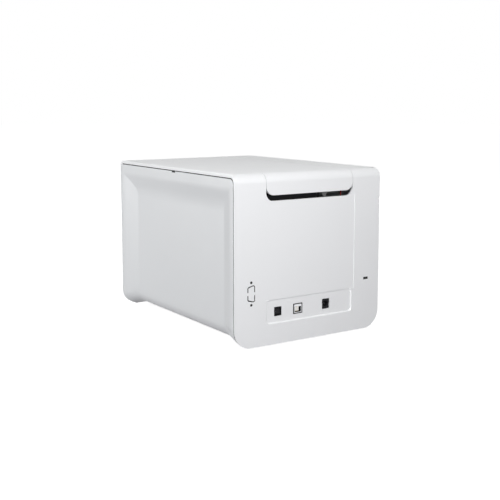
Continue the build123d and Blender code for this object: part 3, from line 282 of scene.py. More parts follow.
def turned(profile, axis="x", columns=48, ring=False):
    """Shape turned on a lathe about an axis through the origin: each profile corner (along,
    radius, rounding) makes a circle (radius cos t, radius sin t). A ring's profile is a closed
    loop beside the axis, any other profile starts and ends on it."""
    if ring:
        corners = [*profile, profile[0]]
        path = rounded_path(corners)[:-1]
    else:
        path = rounded_path(profile)
    turn = np.linspace(0, 2 * np.pi, columns, endpoint=False)
    along, radius = path[:, :1], path[:, 1:]
    grid = along_axis(along, radius * np.cos(turn), radius * np.sin(turn), axis)
    return woven(grid, round_rows=ring, round_columns=True)


def rounded_loop(width, height, rounding, steps=6):
    """Closed outline of a rectangle about the origin with four round corners."""
    angle = np.linspace(0, np.pi / 2, steps)
    arc = np.stack([np.cos(angle), np.sin(angle)], axis=-1) * rounding
    corner = np.array([width / 2 - rounding, height / 2 - rounding])
    loop = []
    for cos, sin, side, rise in ((1, 0, 1, 1), (0, 1, -1, 1), (-1, 0, -1, -1), (0, -1, 1, -1)):
        across, up = arc[:, 0] * cos - arc[:, 1] * sin, arc[:, 0] * sin + arc[:, 1] * cos
        loop.append(np.stack([across, up], axis=-1) + corner * (side, rise))
    return np.concatenate(loop)


def plate(loop, low, high, axis="z", soft=0.3):
    """Solid between two ends along an axis, its outline a closed loop that can be seen whole
    from its middle. Each end is drawn in by a quarter round of the soft radius."""
    loop = np.asarray(loop, float)
    centre = loop.mean(axis=0)
    reach = np.hypot(*(loop - centre).T).max()
    angle = np.linspace(0, np.pi / 2, 4)
    drawn = 1 - soft * (1 - np.sin(angle)) / reach
    bend = soft * (1 - np.cos(angle))
    levels = np.concatenate([[low], low + bend, high - bend[::-1], [high]])
    sizes = np.concatenate([[0], drawn, drawn[::-1], [0]])
    across = centre[0] + (loop[:, 0] - centre[0]) * sizes[:, None]
    up = centre[1] + (loop[:, 1] - centre[1]) * sizes[:, None]
    return woven(along_axis(levels[:, None], across, up, axis), round_columns=True)


def soft_box(low, high, rounding=0.6, soft=0.3):
    """Box between two corners with round upright edges and softened ends."""
    low, high = np.asarray(low, float), np.asarray(high, float)
    middle, size = (low + high) / 2, high - low
    loop = rounded_loop(size[0], size[1], rounding)
    return moved(plate(loop, low[2], high[2], "z", soft), middle[0], middle[1])


def tube(path, radius, columns=10):
    """Round tube along a path of points: at each point a circle stands square to the run, on two
    directions that are carried along it."""
    path = np.asarray(path, float)
    ahead = np.gradient(path, axis=0)
    ahead = ahead / np.linalg.norm(ahead, axis=1, keepdims=True)
    side = np.cross(ahead, np.where(np.abs(ahead[:, 2:]) > 0.9, [1.0, 0, 0], [0, 0, 1.0]))
    side = side / np.linalg.norm(side, axis=1, keepdims=True)
    rise = np.cross(side, ahead)
    turn = np.linspace(0, 2 * np.pi, columns, endpoint=False)
    ring = side[:, None] * np.cos(turn)[:, None] + rise[:, None] * np.sin(turn)[:, None]
    grid = path[:, None] + radius * ring
    ends = np.repeat(path[[0, -1]][:, None], columns, axis=1)
    return woven(np.concatenate([ends[:1], grid, ends[1:]]), round_columns=True)


def coil(radius, wire, turns, low, high, closed=0.8):
    """Compression spring about the Z axis: a helix (radius cos t, radius sin t, height) whose
    first and last coils lie close together."""
    steps = int(turns * 24) + 1
    share = np.linspace(0, 1, steps)
    angle = share * turns * 2 * np.pi
    end = closed / turns
    pitch = np.clip(np.minimum(share, 1 - share) / end, 0.25, 1)
    height = np.concatenate([[0], np.cumsum((pitch[1:] + pitch[:-1]) / 2)])
    height = low + wire + height / height[-1] * (high - low - 2 * wire)
    path = np.stack([radius * np.cos(angle), radius * np.sin(angle), height], axis=-1)
    return tube(path, wire, 8)


def toothed_wheel(root, tip, teeth, low, high, bore, first=0.0, narrow=0.0, samples=12):
    """Wheel about the X axis whose outer radius goes up and down once for each tooth, as a
    flattened wave 1.6 cos(teeth t) between the root and the tip. The first tooth stands at the
    first angle, and a narrow share makes the teeth thinner than the gaps."""
    chamfer = 0.25
    angle = np.linspace(0, 2 * np.pi, teeth * samples, endpoint=False)
    wave = np.clip(1.6 * np.cos((angle - first) * teeth) - narrow, -1, 1)
    outer, inner = (root + tip) / 2 + wave * (tip - root) / 2, np.full_like(angle, bore)
    radius = np.stack([inner, outer - chamfer, outer, outer, outer - chamfer, inner])
    along = np.array([low, low, low + chamfer, high - chamfer, high, high])[:, None]
    return woven(along_axis(along, radius * np.cos(angle), radius * np.sin(angle), "x"), True, True)


def screw_head(x, y, z, way, length):
    """Pan head screw with a cross recess: height over (ring, angle) is a dome less the recess,
    and the shank below carries rings of thread."""
    head, dome, neck, crest, root, pitch = 2.8, 1.8, 1.2, 1.3, 1.05, 0.45
    angle = np.linspace(0, 2 * np.pi, 64, endpoint=False)
    ring = np.linspace(0, 1, 26)[:, None]
    across, up = head * ring * np.cos(angle), head * ring * np.sin(angle)
    arm, reach = np.minimum(np.abs(across), np.abs(up)), np.maximum(np.abs(across), np.abs(up))
    recess = np.clip((0.55 - arm) / 0.2, 0, 1) * np.clip((1.7 - reach) / 0.25, 0, 1)
    top = along_axis(dome - 0.75 * ring**3 - 1.0 * recess, across, up, "z")
    shank = [(0, head), (0, neck)]
    for depth in np.arange(0.6, length - 0.6, pitch):
        shank += [(-depth, crest), (-depth - 0.22, root)]
    shank += [(0.3 - length, root), (-length, 0.6), (-length, 0)]
    place, radius = np.array(shank, float).T[:, :, None]
    below = along_axis(place, radius * np.cos(angle), radius * np.sin(angle), "z")
    points, faces = woven(np.concatenate([top, below]), round_columns=True)
    if way < 0:
        points, faces = points * (1, 1, -1), faces[:, ::-1]
    return moved((points, faces), x, y, z)


def merged_skin(node, crease=30.0):
    """Copy of a CAD node's mesh with its loose triangles joined, its flats made whole and its
    round faces shaded as round. It stands for the node."""
    mesh = NODES[node].data.copy()
    work = bmesh.new()
    work.from_mesh(mesh)
    bmesh.ops.remove_doubles(work, verts=work.verts, dist=WELD)
    bmesh.ops.dissolve_limit(work, angle_limit=0.002, verts=work.verts, edges=work.edges)
    work.to_mesh(mesh)
    work.free()
    for attribute in ("custom_normal", "sharp_face", "sharp_edge"):
        if attribute in mesh.attributes:
            mesh.attributes.remove(mesh.attributes[attribute])
    mesh.shade_smooth()
    mesh.set_sharp_from_angle(angle=math.radians(crease))
    slot = SLOT_OF[node]
    piece = new_piece(node + "_skin", mesh, finish_for(slot), NODES[node]["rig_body"], (node,))
    even = piece.modifiers.new("even normals", "WEIGHTED_NORMAL")
    even.keep_sharp = True
    return piece


# Finishes

PLASTIC_IOR = 1.49


def fresh_tree(owner, output):
    """Empty node tree of a material or world, with the surface socket of its output."""
    owner.use_nodes = True
    tree = owner.node_tree
    tree.nodes.clear()
    return tree, tree.nodes.new(output).inputs["Surface"]


def feed(tree, node, inputs):
    """Sets a node's inputs: each value is a number, a colour or the socket that feeds it."""
    for name, value in inputs.items():
        if isinstance(value, bpy.types.NodeSocket):
            tree.links.new(value, node.inputs[name])
        else:
            node.inputs[name].default_value = value
    return node


def node_of(tree, kind, inputs):
    """New shader node with its inputs set."""
    return feed(tree, tree.nodes.new("ShaderNode" + kind), inputs)


def shader_of(name):
    """Empty material with its node tree, its main shader and the piece's own coordinates."""
    material = bpy.data.materials.new(name)
    tree, surface = fresh_tree(material, "ShaderNodeOutputMaterial")
    shader = node_of(tree, "BsdfPrincipled", {})
    tree.links.new(shader.outputs["BSDF"], surface)
    return material, tree, shader, node_of(tree, "TexCoord", {}).outputs["Object"]


def noise_of(tree, place, scale, detail=3.0, stretch=(1, 1, 1)):
    """Noise over the piece's own coordinates, its grains longer where the stretch is smaller."""
    mapping = node_of(tree, "Mapping", {"Scale": stretch, "Vector": place})
    settings = {"Scale": scale, "Detail": detail, "Vector": mapping.outputs["Vector"]}
    return node_of(tree, "TexNoise", settings).outputs["Fac"]


def between(tree, value, low, high):
    """Maps a texture's middle range on to the range from low to high."""
    settings = {"From Min": 0.3, "From Max": 0.7, "To Min": low, "To Max": high, "Value": value}
    return node_of(tree, "MapRange", settings).outputs["Result"]


def blended(tree, factor, one, other):
    """Colour that goes from one to the other with the factor."""
    mix = tree.nodes.new("ShaderNodeMix")
    mix.data_type = "RGBA"
    feed(tree, mix, {"Factor": factor, 6: (*one, 1), 7: (*other, 1)})
    return mix.outputs[2]


def bumped(tree, shader, height, depth, strength):
    """Bump of a real depth in millimetres from a height texture."""
    settings = {"Distance": depth * MILLIMETRE, "Strength": strength, "Height": height}
    tree.links.new(node_of(tree, "Bump", settings).outputs["Normal"], shader.inputs["Normal"])


def tinted(colour, amount):
    """Colour made lighter or darker by a share."""
    return tuple(min(1.0, channel * (1 + amount)) for channel in colour)


def moulded(name, colour, roughness, grain=2200.0, depth=0.012, cloud=0.015, shine=0.5):
    """Injection moulded plastic: faint flow clouds in its colour, fine spark-eroded grain in its
    surface and slightly uneven gloss."""
    material, tree, shader, place = shader_of(name)
    clouds, gloss = noise_of(tree, place, 14.0, 2.0), noise_of(tree, place, 45.0)
    feed(tree, shader, {
        "Base Color": blended(tree, clouds, tinted(colour, -cloud), tinted(colour, cloud)),
        "Roughness": between(tree, gloss, roughness - 0.04, roughness + 0.04),
        "Specular IOR Level": shine,
    })
    bumped(tree, shader, noise_of(tree, place, grain, 2.0), depth, 0.6)
    return material


def drawn_metal(name, colour, roughness, stretch=(1, 1, 1)):
    """Bare metal with fine lines along one way and uneven gloss."""
    material, tree, shader, place = shader_of(name)
    lines, stains = noise_of(tree, place, 900.0, 4.0, stretch), noise_of(tree, place, 30.0)
    feed(tree, shader, {
        "Base Color": blended(tree, stains, tinted(colour, -0.06), tinted(colour, 0.05)),
        "Roughness": between(tree, lines, roughness - 0.07, roughness + 0.09),
        "Metallic": 1.0,
    })
    bumped(tree, shader, lines, 0.006, 0.7)
    return material


def rubbery(name, colour, roughness, depth=0.03):
    """Rubber with a dull ground skin and a dusting of lighter specks."""
    material, tree, shader, place = shader_of(name)
    specks, gloss = noise_of(tree, place, 1600.0, 2.0), noise_of(tree, place, 60.0)
    feed(tree, shader, {
        "Base Color": blended(tree, specks, tinted(colour, -0.15), tinted(colour, 0.3)),
        "Roughness": between(tree, gloss, roughness - 0.06, roughness + 0.06),
    })
    bumped(tree, shader, noise_of(tree, place, 900.0), depth, 0.5)
    return material


def smoked_glass():
    """Clear plastic with a smoky tint and faint flow marks."""
    material, tree, shader, place = shader_of("smoked window")
    flow, gloss = noise_of(tree, place, 20.0, 2.0), noise_of(tree, place, 90.0)
    feed(tree, shader, {
        "Base Color": blended(tree, flow, (0.10, 0.10, 0.11), (0.13, 0.13, 0.14)),
        "Roughness": between(tree, gloss, 0.05, 0.1),
        "Transmission Weight": 0.6,
        "IOR": PLASTIC_IOR,
    })
    return material


def clear_peg():
    """Clear light guide with a frosted end."""
    material, tree, shader, place = shader_of("light guide")
    frost = noise_of(tree, place, 1500.0, 2.0)
    feed(tree, shader, {
        "Base Color": blended(tree, frost, (0.82, 0.88, 0.9), (0.9, 0.94, 0.95)),
        "Roughness": between(tree, frost, 0.12, 0.3),
        "Transmission Weight": 0.7,
        "IOR": PLASTIC_IOR,
    })
    return material


def circuit_board():
    """Green solder mask over copper tracks that run in short straight lengths."""
    material, tree, shader, place = shader_of("circuit board")
    sizes = {"Scale": 160.0, "Mortar Size": 0.03, "Brick Width": 1.3, "Row Height": 0.32, "Vector": place}
    tracks = node_of(tree, "TexBrick", sizes).outputs["Fac"]
    feed(tree, shader, {
        "Base Color": blended(tree, tracks, RECORD_COLOUR["board"], (0.06, 0.32, 0.14)),
        "Roughness": between(tree, noise_of(tree, place, 80.0), 0.25, 0.36),
        "Coat Weight": 0.3,
    })
    bumped(tree, shader, tracks, 0.03, 0.6)
    return material


def ribbon_finish():
    """Wound dye film: dark glossy film with fine winding lines."""
    material, tree, shader, place = shader_of("ribbon film")
    lines = noise_of(tree, place, 500.0, 3.0, (0.05, 1, 1))
    feed(tree, shader, {
        "Base Color": blended(tree, lines, (0.012, 0.014, 0.04), (0.02, 0.024, 0.07)),
        "Roughness": between(tree, lines, 0.14, 0.3),
    })
    bumped(tree, shader, lines, 0.01, 0.4)
    return material


# Slots whose finish needs nothing but its maker
OWN_FINISHES = {
    "smoked_window": smoked_glass,
    "clear_plastic": clear_peg,
    "board": circuit_board,
    "ribbon": ribbon_finish,
}
# For every other slot: the maker of its finish, the finish's name, its roughness and the maker's
# further measures in turn
COMMON_FINISHES = {
    "white_plastic": (moulded, "white cover plastic", 0.42),
    "side_plastic": (moulded, "side cover plastic", 0.45),
    "dark_plastic": (moulded, "dark hopper plastic", 0.5, 1500.0, 0.03, 0.1),
    "grey_plastic": (moulded, "grey inner plastic", 0.48, 1800.0, 0.02, 0.04),
    "steel": (drawn_metal, "rolled chassis steel", 0.36, (1, 1, 0.04)),
    "black_steel": (moulded, "black coated sheet", 0.55, 1500.0, 0.01, 0.1),
    "bright_steel": (drawn_metal, "ground shaft steel", 0.22, (0.2, 1, 1)),
    "zinc_screw": (drawn_metal, "zinc plated screws", 0.33),
    "rubber": (rubbery, "black foot rubber", 0.8),
    "grey_rubber": (rubbery, "ground grey rubber", 0.62),
    "blue_tacky_rubber": (rubbery, "blue tacky rubber", 0.26, 0.008),
    "component_black": (moulded, "black plastic", 0.6, 1200.0, 0.02, 0.12, 0.15),
    "white_gear": (moulded, "natural gear plastic", 0.35, 1000.0, 0.01, 0.03),
    "aluminium": (drawn_metal, "extruded aluminium", 0.3, (1, 0.04, 1)),
    "wire_red": (moulded, "red wire insulation", 0.3, 700.0, 0.01, 0.08),
    "brass": (drawn_metal, "turned brass", 0.25),
}
DARKENED = {"rubber": -0.6, "component_black": -0.6}
FINISHES = {}


def slot_colour(slot):
    """Colour of a slot: the user's for the covers, and else the record's, darkened where it looks
    too grey under the lamps."""
    shell = bpy.context.scene.printer_shell
    chosen = {"white_plastic": shell.cover_colour, "side_plastic": shell.side_colour}
    return chosen[slot] if slot in chosen else tinted(RECORD_COLOUR[slot], DARKENED.get(slot, 0))


def finish_for(slot):
    """Finish of a material slot, made once."""
    if slot in OWN_FINISHES and slot not in FINISHES:
        FINISHES[slot] = OWN_FINISHES[slot]()
    elif slot not in FINISHES:
        maker, name, *measures = COMMON_FINISHES[slot]
        FINISHES[slot] = maker(name, slot_colour(slot), *measures)
    return FINISHES[slot]


def skins(*nodes):
    """Merged skins for several CAD nodes, each in the finish of its slot."""
    return [merged_skin(node) for node in nodes]


def span(node):
    """Lowest and highest corners of a CAD node in millimetres."""
    low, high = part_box(node)
    return np.array(low) / MILLIMETRE, np.array(high) / MILLIMETRE


def middle_of(node):
    """Middle of a CAD node's box in millimetres."""
    low, high = span(node)
    return (low + high) / 2


def stand_in(node, shape, slot=None, suffix="_skin"):
    """Piece made of a shape in millimetres, which rides with a CAD node and stands for it."""
    slot, name = slot or SLOT_OF[node], node + suffix
    mesh = mesh_of(name, *shape)
    return new_piece(name, mesh, finish_for(slot), NODES[node]["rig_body"], (node,))


def soften(pieces, width, segments=2):
    """Rounds the sharp edges of skins by a width in millimetres, before their normals are evened."""
    for piece in pieces:
        bevel = piece.modifiers.new("soft edges", "BEVEL")
        bevel.width = width * MILLIMETRE
        bevel.segments = segments
        bevel.limit_method = "ANGLE"
        bevel.angle_limit = math.radians(40)
        bevel.harden_normals = True
        piece.modifiers.move(len(piece.modifiers) - 1, 0)


# Sizes and colours


class PrinterShell(PropertyGroup):
    """Sizes and colours of the outer covers, with the sizes in millimetres."""

    cover_colour: FloatVectorProperty(
        name="Cover colour", description="Colour of the top, rear and front covers",
        subtype="COLOR", size=3, min=0, max=1, default=RECORD_COLOUR["white_plastic"],
    )
    side_colour: FloatVectorProperty(
        name="Side colour", description="Colour of the two dished side covers",
        subtype="COLOR", size=3, min=0, max=1, default=RECORD_COLOUR["side_plastic"],
    )
    wall: FloatProperty(
        name="Wall", description="Thickness of the side covers in millimetres", default=2.5, min=1, max=4
    )
    dish_depth: FloatProperty(
        name="Dish depth", description="How far the side dish lies below the rim, in millimetres",
        default=4.5, min=0, max=6,
    )
    foot_height: FloatProperty(
        name="Foot height", description="Height of the low front foot above the desk, in millimetres",
        default=3.7, min=3, max=8,
    )
    raised_height: FloatProperty(
        name="Raised height", description="Height of the raised underside, in millimetres",
        default=11.2, min=4, max=20,
    )
    tail_height: FloatProperty(
        name="Tail height", description="Height of the underside at the rear, in millimetres",
        default=TAIL_HEIGHT, min=3, max=12,
    )
    top_softness: FloatProperty(
        name="Top softness", description="Blend where the dish meets its top slope, in millimetres",
        default=2.0, min=0.01, max=4,
    )
    rim_softness: FloatProperty(
        name="Rim softness", description="Blend at the outer edge of the dish, in millimetres",
        default=0.8, min=0.01, max=2,
    )


class PrinterStudio(PropertyGroup):
    """Light and camera of the studio."""

    near_power: FloatProperty(
        name="Near lamp", description="Small lamp over the rear edge", default=2.48, min=0, unit="POWER"
    )
    key_power: FloatProperty(
        name="Key lamp", description="Lamp behind the rear right corner", default=7.95, min=0, unit="POWER"
    )
    side_power: FloatProperty(
        name="Side lamp", description="Lamp on the right", default=3.6, min=0, unit="POWER"
    )
    corner_power: FloatProperty(
        name="Corner lamp", description="Low lamp at the front right corner", default=2.9, min=0, unit="POWER"
    )
    top_power: FloatProperty(
        name="Top lamp", description="Large lamp over the front", default=8.3, min=0, unit="POWER"
    )
    left_power: FloatProperty(
        name="Left lamp", description="Lamp at the front left corner", default=9.0, min=0, unit="POWER"
    )
    sky_level: FloatProperty(
        name="Sky level", description="Strength of the light from all round", default=0.02, min=0, max=2
    )
    floor_glow: FloatProperty(
        name="Floor glow", description="How bright the camera sees the floor without light on it",
        default=0.9, min=0, max=1,
    )
    table_colour: FloatVectorProperty(
        name="Table colour", description="Colour with which the floor lights the object from below",
        subtype="COLOR", size=3, min=0, max=1, default=(0.155, 0.145, 0.165),
    )
    lens: FloatProperty(
        name="Lens", description="Focal length on a 36 mm sensor",
        default=64.55, min=20, max=200, unit="CAMERA",
    )


# Side covers


def soft_lower(one, other, width):
    """The lower of two surfaces, rounded where they meet: the smaller value less a parabola
    of the given width over their difference."""
    overlap = np.clip(1 - np.abs(one - other) / width, 0, 1)
    return np.minimum(one, other) - overlap**2 * width / 4


def soft_higher(one, other, width):
    """The higher of two surfaces, rounded where they meet."""
    return -soft_lower(-one, -other, width)


def quarter(distance, radius):
    """How far a quarter round edge falls back at a distance from its end."""
    inside = np.clip(radius - distance, 0, radius)
    return radius - np.sqrt(np.maximum(radius**2 - inside**2, 0))


def side_stations():
    """Places along Y where the side cover is worked out: close together at its round ends, at the
    groove and the notch, every millimetre at the slopes of the dish, and every four between."""
    front, rear = SIDE_LOW.y, SIDE_HIGH.y
    stations = np.concatenate(
        [
            front + FRONT_EDGE_ROUND * (1 - np.cos(np.linspace(0, np.pi / 2, 6))),
            front + FRONT_ROUND * (1 - np.cos(np.linspace(0, np.pi / 2, 12))),
            front + FRONT_GROOVE + GROOVE_HALF * np.array([-1.1, -1, -0.9, 0, 0.9, 1, 1.1]),
            np.arange(-121, -78, 1.0),
            np.arange(-78, 125, 4.0),
            [NOTCH_START - 0.05, NOTCH_START, NOTCH_END, NOTCH_END + 0.05],
            np.arange(124, 148, 1.0),
            rear - SEAM_CORNER + SEAM_CORNER * np.sin(np.linspace(0, np.pi / 2, 9)),
        ]
    )
    stations = np.unique(np.round(stations, 3))
    return stations[np.concatenate([[True], np.diff(stations) > 0.02])]


def underside_of(y, shell):
    """Height of the underside at each y, and the radius and centre of its long outer edge.

    A smooth step 3t^2 - 2t^3 carries all three from the foot up to the raised middle, and a
    straight run from there down to the tail."""
    ramp = np.clip((y - RAMP_START) / (RAMP_END - RAMP_START), 0, 1)
    ramp = ramp**2 * (3 - 2 * ramp)
    tail = np.clip((y - TAIL_START) / (SIDE_HIGH.y - TAIL_START), 0, 1)

    def carried(foot, middle, end):
        return foot + (middle - foot) * ramp + (end - middle) * tail

    low = carried(shell.foot_height, shell.raised_height, shell.tail_height)
    radius = carried(FOOT_ROUND, RAISED_ROUND, TAIL_ROUND)
    dish_x = SIDE_HIGH.x - shell.dish_depth
    centre_x = carried(SIDE_HIGH.x - FOOT_ROUND, dish_x - RAISED_ROUND, SIDE_HIGH.x - TAIL_ROUND)
    return low, radius, centre_x


def top_edge_of(y, inset):
    """Height of the top edge at each y: level, with a quarter round at the rear and one at the front."""
    front, rear, top = SIDE_LOW.y + inset, SIDE_HIGH.y - inset, SIDE_HIGH.z - inset
    corner = SEAM_CORNER - inset
    from_rear = np.clip(y - (rear - corner), 0, corner)
    z_top = top - corner + np.sqrt(np.maximum(corner**2 - from_rear**2, 0))
    corner = FRONT_TOP_ROUND - inset
    from_front = np.clip(front + corner - y, 0, corner)
    body_top = CAD_BOX[1][2] / MILLIMETRE - inset
    return np.minimum(z_top, body_top - corner + np.sqrt(np.maximum(corner**2 - from_front**2, 0)))


def side_surface(inset, shell):
    """One skin of the right side cover as a grid of points over Y and the way up its section.

    x(y, z) is the lowest of four surfaces: the flat outer face; the dish, which is the highest
    of its floor and its front, rear and top slopes; the round lower edge, a circle whose radius
    changes along the ramp; and the small top edge."""
    front, rear = SIDE_LOW.y + inset, SIDE_HIGH.y - inset
    outer_x, inner_x = SIDE_HIGH.x - inset, SIDE_LOW.x
    y = np.clip(side_stations(), front, rear)
    low, radius, centre_x = underside_of(y, shell)
    centre_z = low + radius
    radius = radius - inset
    z_top = top_edge_of(y, inset)
    if inset == 0:
        in_notch = (y > NOTCH_START - 0.03) & (y < NOTCH_END + 0.03)
        z_top = np.where(in_notch, z_top - NOTCH_DEPTH, z_top)
    front_lift = quarter(y - front, FRONT_ROUND)
    beyond = np.clip(inner_x - centre_x, 0, None)
    start = centre_z - np.sqrt(np.maximum(radius**2 - beyond**2, 0))
    start = np.maximum(start, low + inset + front_lift)
    bend = 1 - np.cos(np.linspace(0, np.pi / 2, 15))
    lower = start[:, None] + np.maximum(centre_z - start, 0.01)[:, None] * bend
    edge = z_top[:, None] - EDGE_ROUND * (1 - np.sin(np.linspace(0, np.pi / 2, 6)))
    face_levels = np.unique(np.concatenate([np.linspace(0, 1, 34), np.linspace(0.74, 0.96, 40)]))[1:-1]
    base = np.maximum(centre_z, start + 0.02)[:, None]
    face = base + (edge[:, :1] - base) * face_levels
    z = np.concatenate([lower, face, edge], axis=1)
    across = y[:, None] * np.ones_like(z)
    floor_x = outer_x - shell.dish_depth
    ahead = floor_x + (DISH_FRONT[1] - across) * shell.dish_depth / (DISH_FRONT[1] - DISH_FRONT[0])
    behind = floor_x + (across - DISH_REAR[0]) * shell.dish_depth / (DISH_REAR[1] - DISH_REAR[0])
    above = floor_x + (z - DISH_TOP[0]) * shell.dish_depth / (DISH_TOP[1] - DISH_TOP[0])
    floor = soft_higher(np.full_like(z, floor_x), above, shell.top_softness)
    floor = soft_higher(floor, behind, REAR_SOFTNESS)
    dish = soft_higher(floor, ahead, FRONT_SOFTNESS)
    flat = np.full_like(z, outer_x)
    x = soft_lower(flat, dish, shell.rim_softness)
    below = np.clip(centre_z[:, None] - z, 0, radius[:, None])
    corner = centre_x[:, None] + np.sqrt(np.maximum(radius[:, None] ** 2 - below**2, 0))
    corner = np.where(z >= centre_z[:, None], np.inf, corner)
    x = np.minimum(x, corner)
    x = x - quarter(z_top[:, None] - z, EDGE_ROUND) - quarter(y - front, FRONT_EDGE_ROUND)[:, None]
    x = x - quarter(rear - y, REAR_EDGE_ROUND)[:, None]
    x = x - FRONT_CROWN * np.clip(1 - (y - front) / CROWN_WIDTH, 0, 1)[:, None] ** 2
    if inset == 0:
        groove = np.clip((GROOVE_HALF - np.abs(y - front - FRONT_GROOVE)) / (0.1 * GROOVE_HALF), 0, 1)
        x = x - GROOVE_DEPTH * groove[:, None]
    x = np.maximum(x, inner_x)
    skin = np.stack([x, across, z], axis=-1)
    inner_low = np.stack([np.full_like(y, inner_x), y, start], axis=-1)[:, None]
    inner_high = np.stack([np.full_like(y, inner_x), y, z_top], axis=-1)[:, None]
    skin = np.concatenate([inner_low, skin, inner_high], axis=1)
    ends = skin[[0, -1]].copy()
    ends[..., 0] = inner_x
    return np.concatenate([ends[:1], skin, ends[1:]])


def side_cover(shell, side):
    """Mesh of one side cover: an outer and an inner skin of the same grid, closed round the rim."""
    outer = side_surface(0.0, shell)
    inner = side_surface(shell.wall, shell)
    if outer.shape != inner.shape:
        raise RuntimeError(f"the side cover's skins differ: {outer.shape} and {inner.shape}")
    points, faces = closed_wall(outer, inner, flip=side < 0)
    points[:, 0] *= side
    return mesh_of("side cover", points, faces, crease=35.0)


def seam_shade_strip(side):
    """Black strip in the seam round a side cover, just below the surface, as painted shade in the gap:
    along the top, round the rear corner and down. Its section lies between the two edges of the seam,
    and its outer face follows the round lower corners x = centre + sqrt(radius^2 - drop^2) of the rear
    wall and the cover. A block of it fills the notch in the cover's top edge, as painted shade there."""
    front, rear, top = SIDE_LOW.y + FRONT_TOP_ROUND, SIDE_HIGH.y, SIDE_HIGH.z
    edges = []
    for gap_top, gap_rear in ((-SEAM_SHADE_LAP, 0.0), (SEAM_GAP_TOP, SEAM_GAP_REAR)):
        y, z = rear + gap_rear, top + gap_top
        bend = rounded_path([(front, z, 0), (y, z, SEAM_CORNER), (y, SEAM_SHADE_BEND_END, 0)])
        drop = np.linspace(SEAM_SHADE_DROP_START, SEAM_SHADE_END, 20)
        edges.append(np.concatenate([bend, np.stack([np.full_like(drop, y), drop], axis=-1)]))
    height = edges[0][:, 1]
    outer = np.full_like(height, SIDE_HIGH.x)
    for radius, lowest in ((PANEL_ROUND, PANEL_LOW), (TAIL_ROUND, TAIL_HEIGHT)):
        fall = np.clip(lowest + radius - height, 0, radius)
        outer = np.minimum(outer, SIDE_HIGH.x - radius + np.sqrt(np.maximum(radius**2 - fall**2, 0)))
    outer = outer - np.where(height < top - SEAM_CORNER, SEAM_SHADE_REAR_RECESS, SEAM_SHADE_RECESS)
    inner = outer - SEAM_SHADE_DEPTH
    corners = ((outer, edges[0]), (outer, edges[1]), (inner, edges[1]), (inner, edges[0]))
    grid = np.stack([np.stack([x * side, *edge.T], axis=-1) for x, edge in corners], axis=1)
    ends = np.repeat(grid[[0, -1]].mean(axis=1, keepdims=True), len(corners), axis=1)
    strip = woven(np.concatenate([ends[:1], grid, ends[1:]]), round_columns=True)
    face = SIDE_HIGH.x - SEAM_SHADE_RECESS
    near, far = sorted((side * (face - SEAM_SHADE_DEPTH), side * face))
    plug = soft_box((near, NOTCH_START, top - NOTCH_DEPTH), (far, NOTCH_END, top), 0.1, 0.05)
    return together([strip, plug])


class PRINTER_OT_side_covers(Operator):
    """Build the two dished side covers as smooth closed walls, and the black strips of painted shade in their
    seams
    """

    bl_idname = "printer.side_covers"
    bl_label = "Side covers"

    def execute(self, context):
        shell = context.scene.printer_shell
        for node, side in (("side_cover_right", 1), ("side_cover_left", -1)):
            slot = SLOT_OF[node]
            new_piece(node + "_skin", side_cover(shell, side), finish_for(slot), "base", (node,))
            # Black strip in each seam: painted shade.
            stand_in(node, seam_shade_strip(side), "rubber", "_seal")
        return {"FINISHED"}


class PRINTER_OT_white_covers(Operator):
    """Build the skins of the top and rear cover, the lid, the front cover and the tray"""

    bl_idname = "printer.white_covers"
    bl_label = "White covers"

    def execute(self, context):
        skins("top_and_rear_cover", "lid", "front_cover", "base_tray")
        return {"FINISHED"}


class PRINTER_OT_hopper(Operator):
    """Build the card hopper unit at the front, its door, trays, button and light guides"""

    bl_idname = "printer.hopper"
    bl_label = "Card hopper"

    def execute(self, context):
        soften(skins("hopper_housing", "feeder_tray", "stacker_bay", "front_board"), 0.4)
        soften(skins("feeder_door", "card_weight", "card_gauge", "output_tray"), 0.5)
        push_button()
        light_pegs()
        return {"FINISHED"}


def push_button():
    """Turned button: a shallow dish in its face, a round rim and a flange on its stem, which stops
    against the inside of the front wall."""
    low, high = span("control_button")
    middle, cap, flange = (low + high) / 2, BUTTON_RADIUS, (high[0] - low[0]) / 2
    face, flange_y = low[1], low[1] + BUTTON_PROUD + COVER_WALL + BUTTON_GAP
    profile = [
        (face + 0.5, 0, 0), (face + 0.5, 1.5, 4), (face, 4.0, 0.8), (face, cap, 0.7), (face + 2, cap, 0),
        (flange_y, cap, 0.3), (flange_y, flange, 0.3), (flange_y + 1.2, flange, 0.3),
        (flange_y + 1.2, cap, 0.3), (high[1], cap, 0.5), (high[1], 0, 0),
    ]
    stand_in("control_button", moved(turned(profile, "y"), middle[0], 0, middle[2]))


def light_pegs():
    """Three turned pegs with domed ends."""
    low, high = span("light_guides")
    radius = (high[0] - low[0]) / 2
    peg = turned([(low[1], 0, 0), (low[1], radius, 0.9), (high[1], radius, 0.2), (high[1], 0, 0)], "y", 24)
    heights = np.linspace(low[2] + radius, high[2] - radius, 3)
    stand_in("light_guides", together([moved(peg, low[0] + radius, 0, z) for z in heights]))


class PRINTER_OT_sockets(Operator):
    """Build the data socket, the power inlet and the rocker switch of the rear wall"""

    bl_idname = "printer.sockets"
    bl_label = "Rear sockets"

    def execute(self, context):
        data_socket()
        power_inlet()
        rocker_switch()
        return {"FINISHED"}


def drawn_inwards(loop, inset):
    """A closed outline about the origin, its points drawn straight towards the middle."""
    reach = np.hypot(loop[:, 0], loop[:, 1])[:, None]
    return loop * (reach - inset) / reach


def through(rings, axis="y"):
    """Closed shape through outlines given as (place along the axis, outline about the origin).
    Each end is closed by a point at its outline's middle."""
    grid = []
    for place, loop in rings:
        across, up = (loop[:, 1], loop[:, 0]) if axis == "y" else (loop[:, 0], loop[:, 1])
        grid.append(along_axis(place, across, up, axis))
    ends = [np.repeat(grid[end].mean(axis=0)[None], len(grid[end]), axis=0) for end in (0, -1)]
    return woven(np.stack([ends[0], *grid, ends[1]]), round_columns=True)


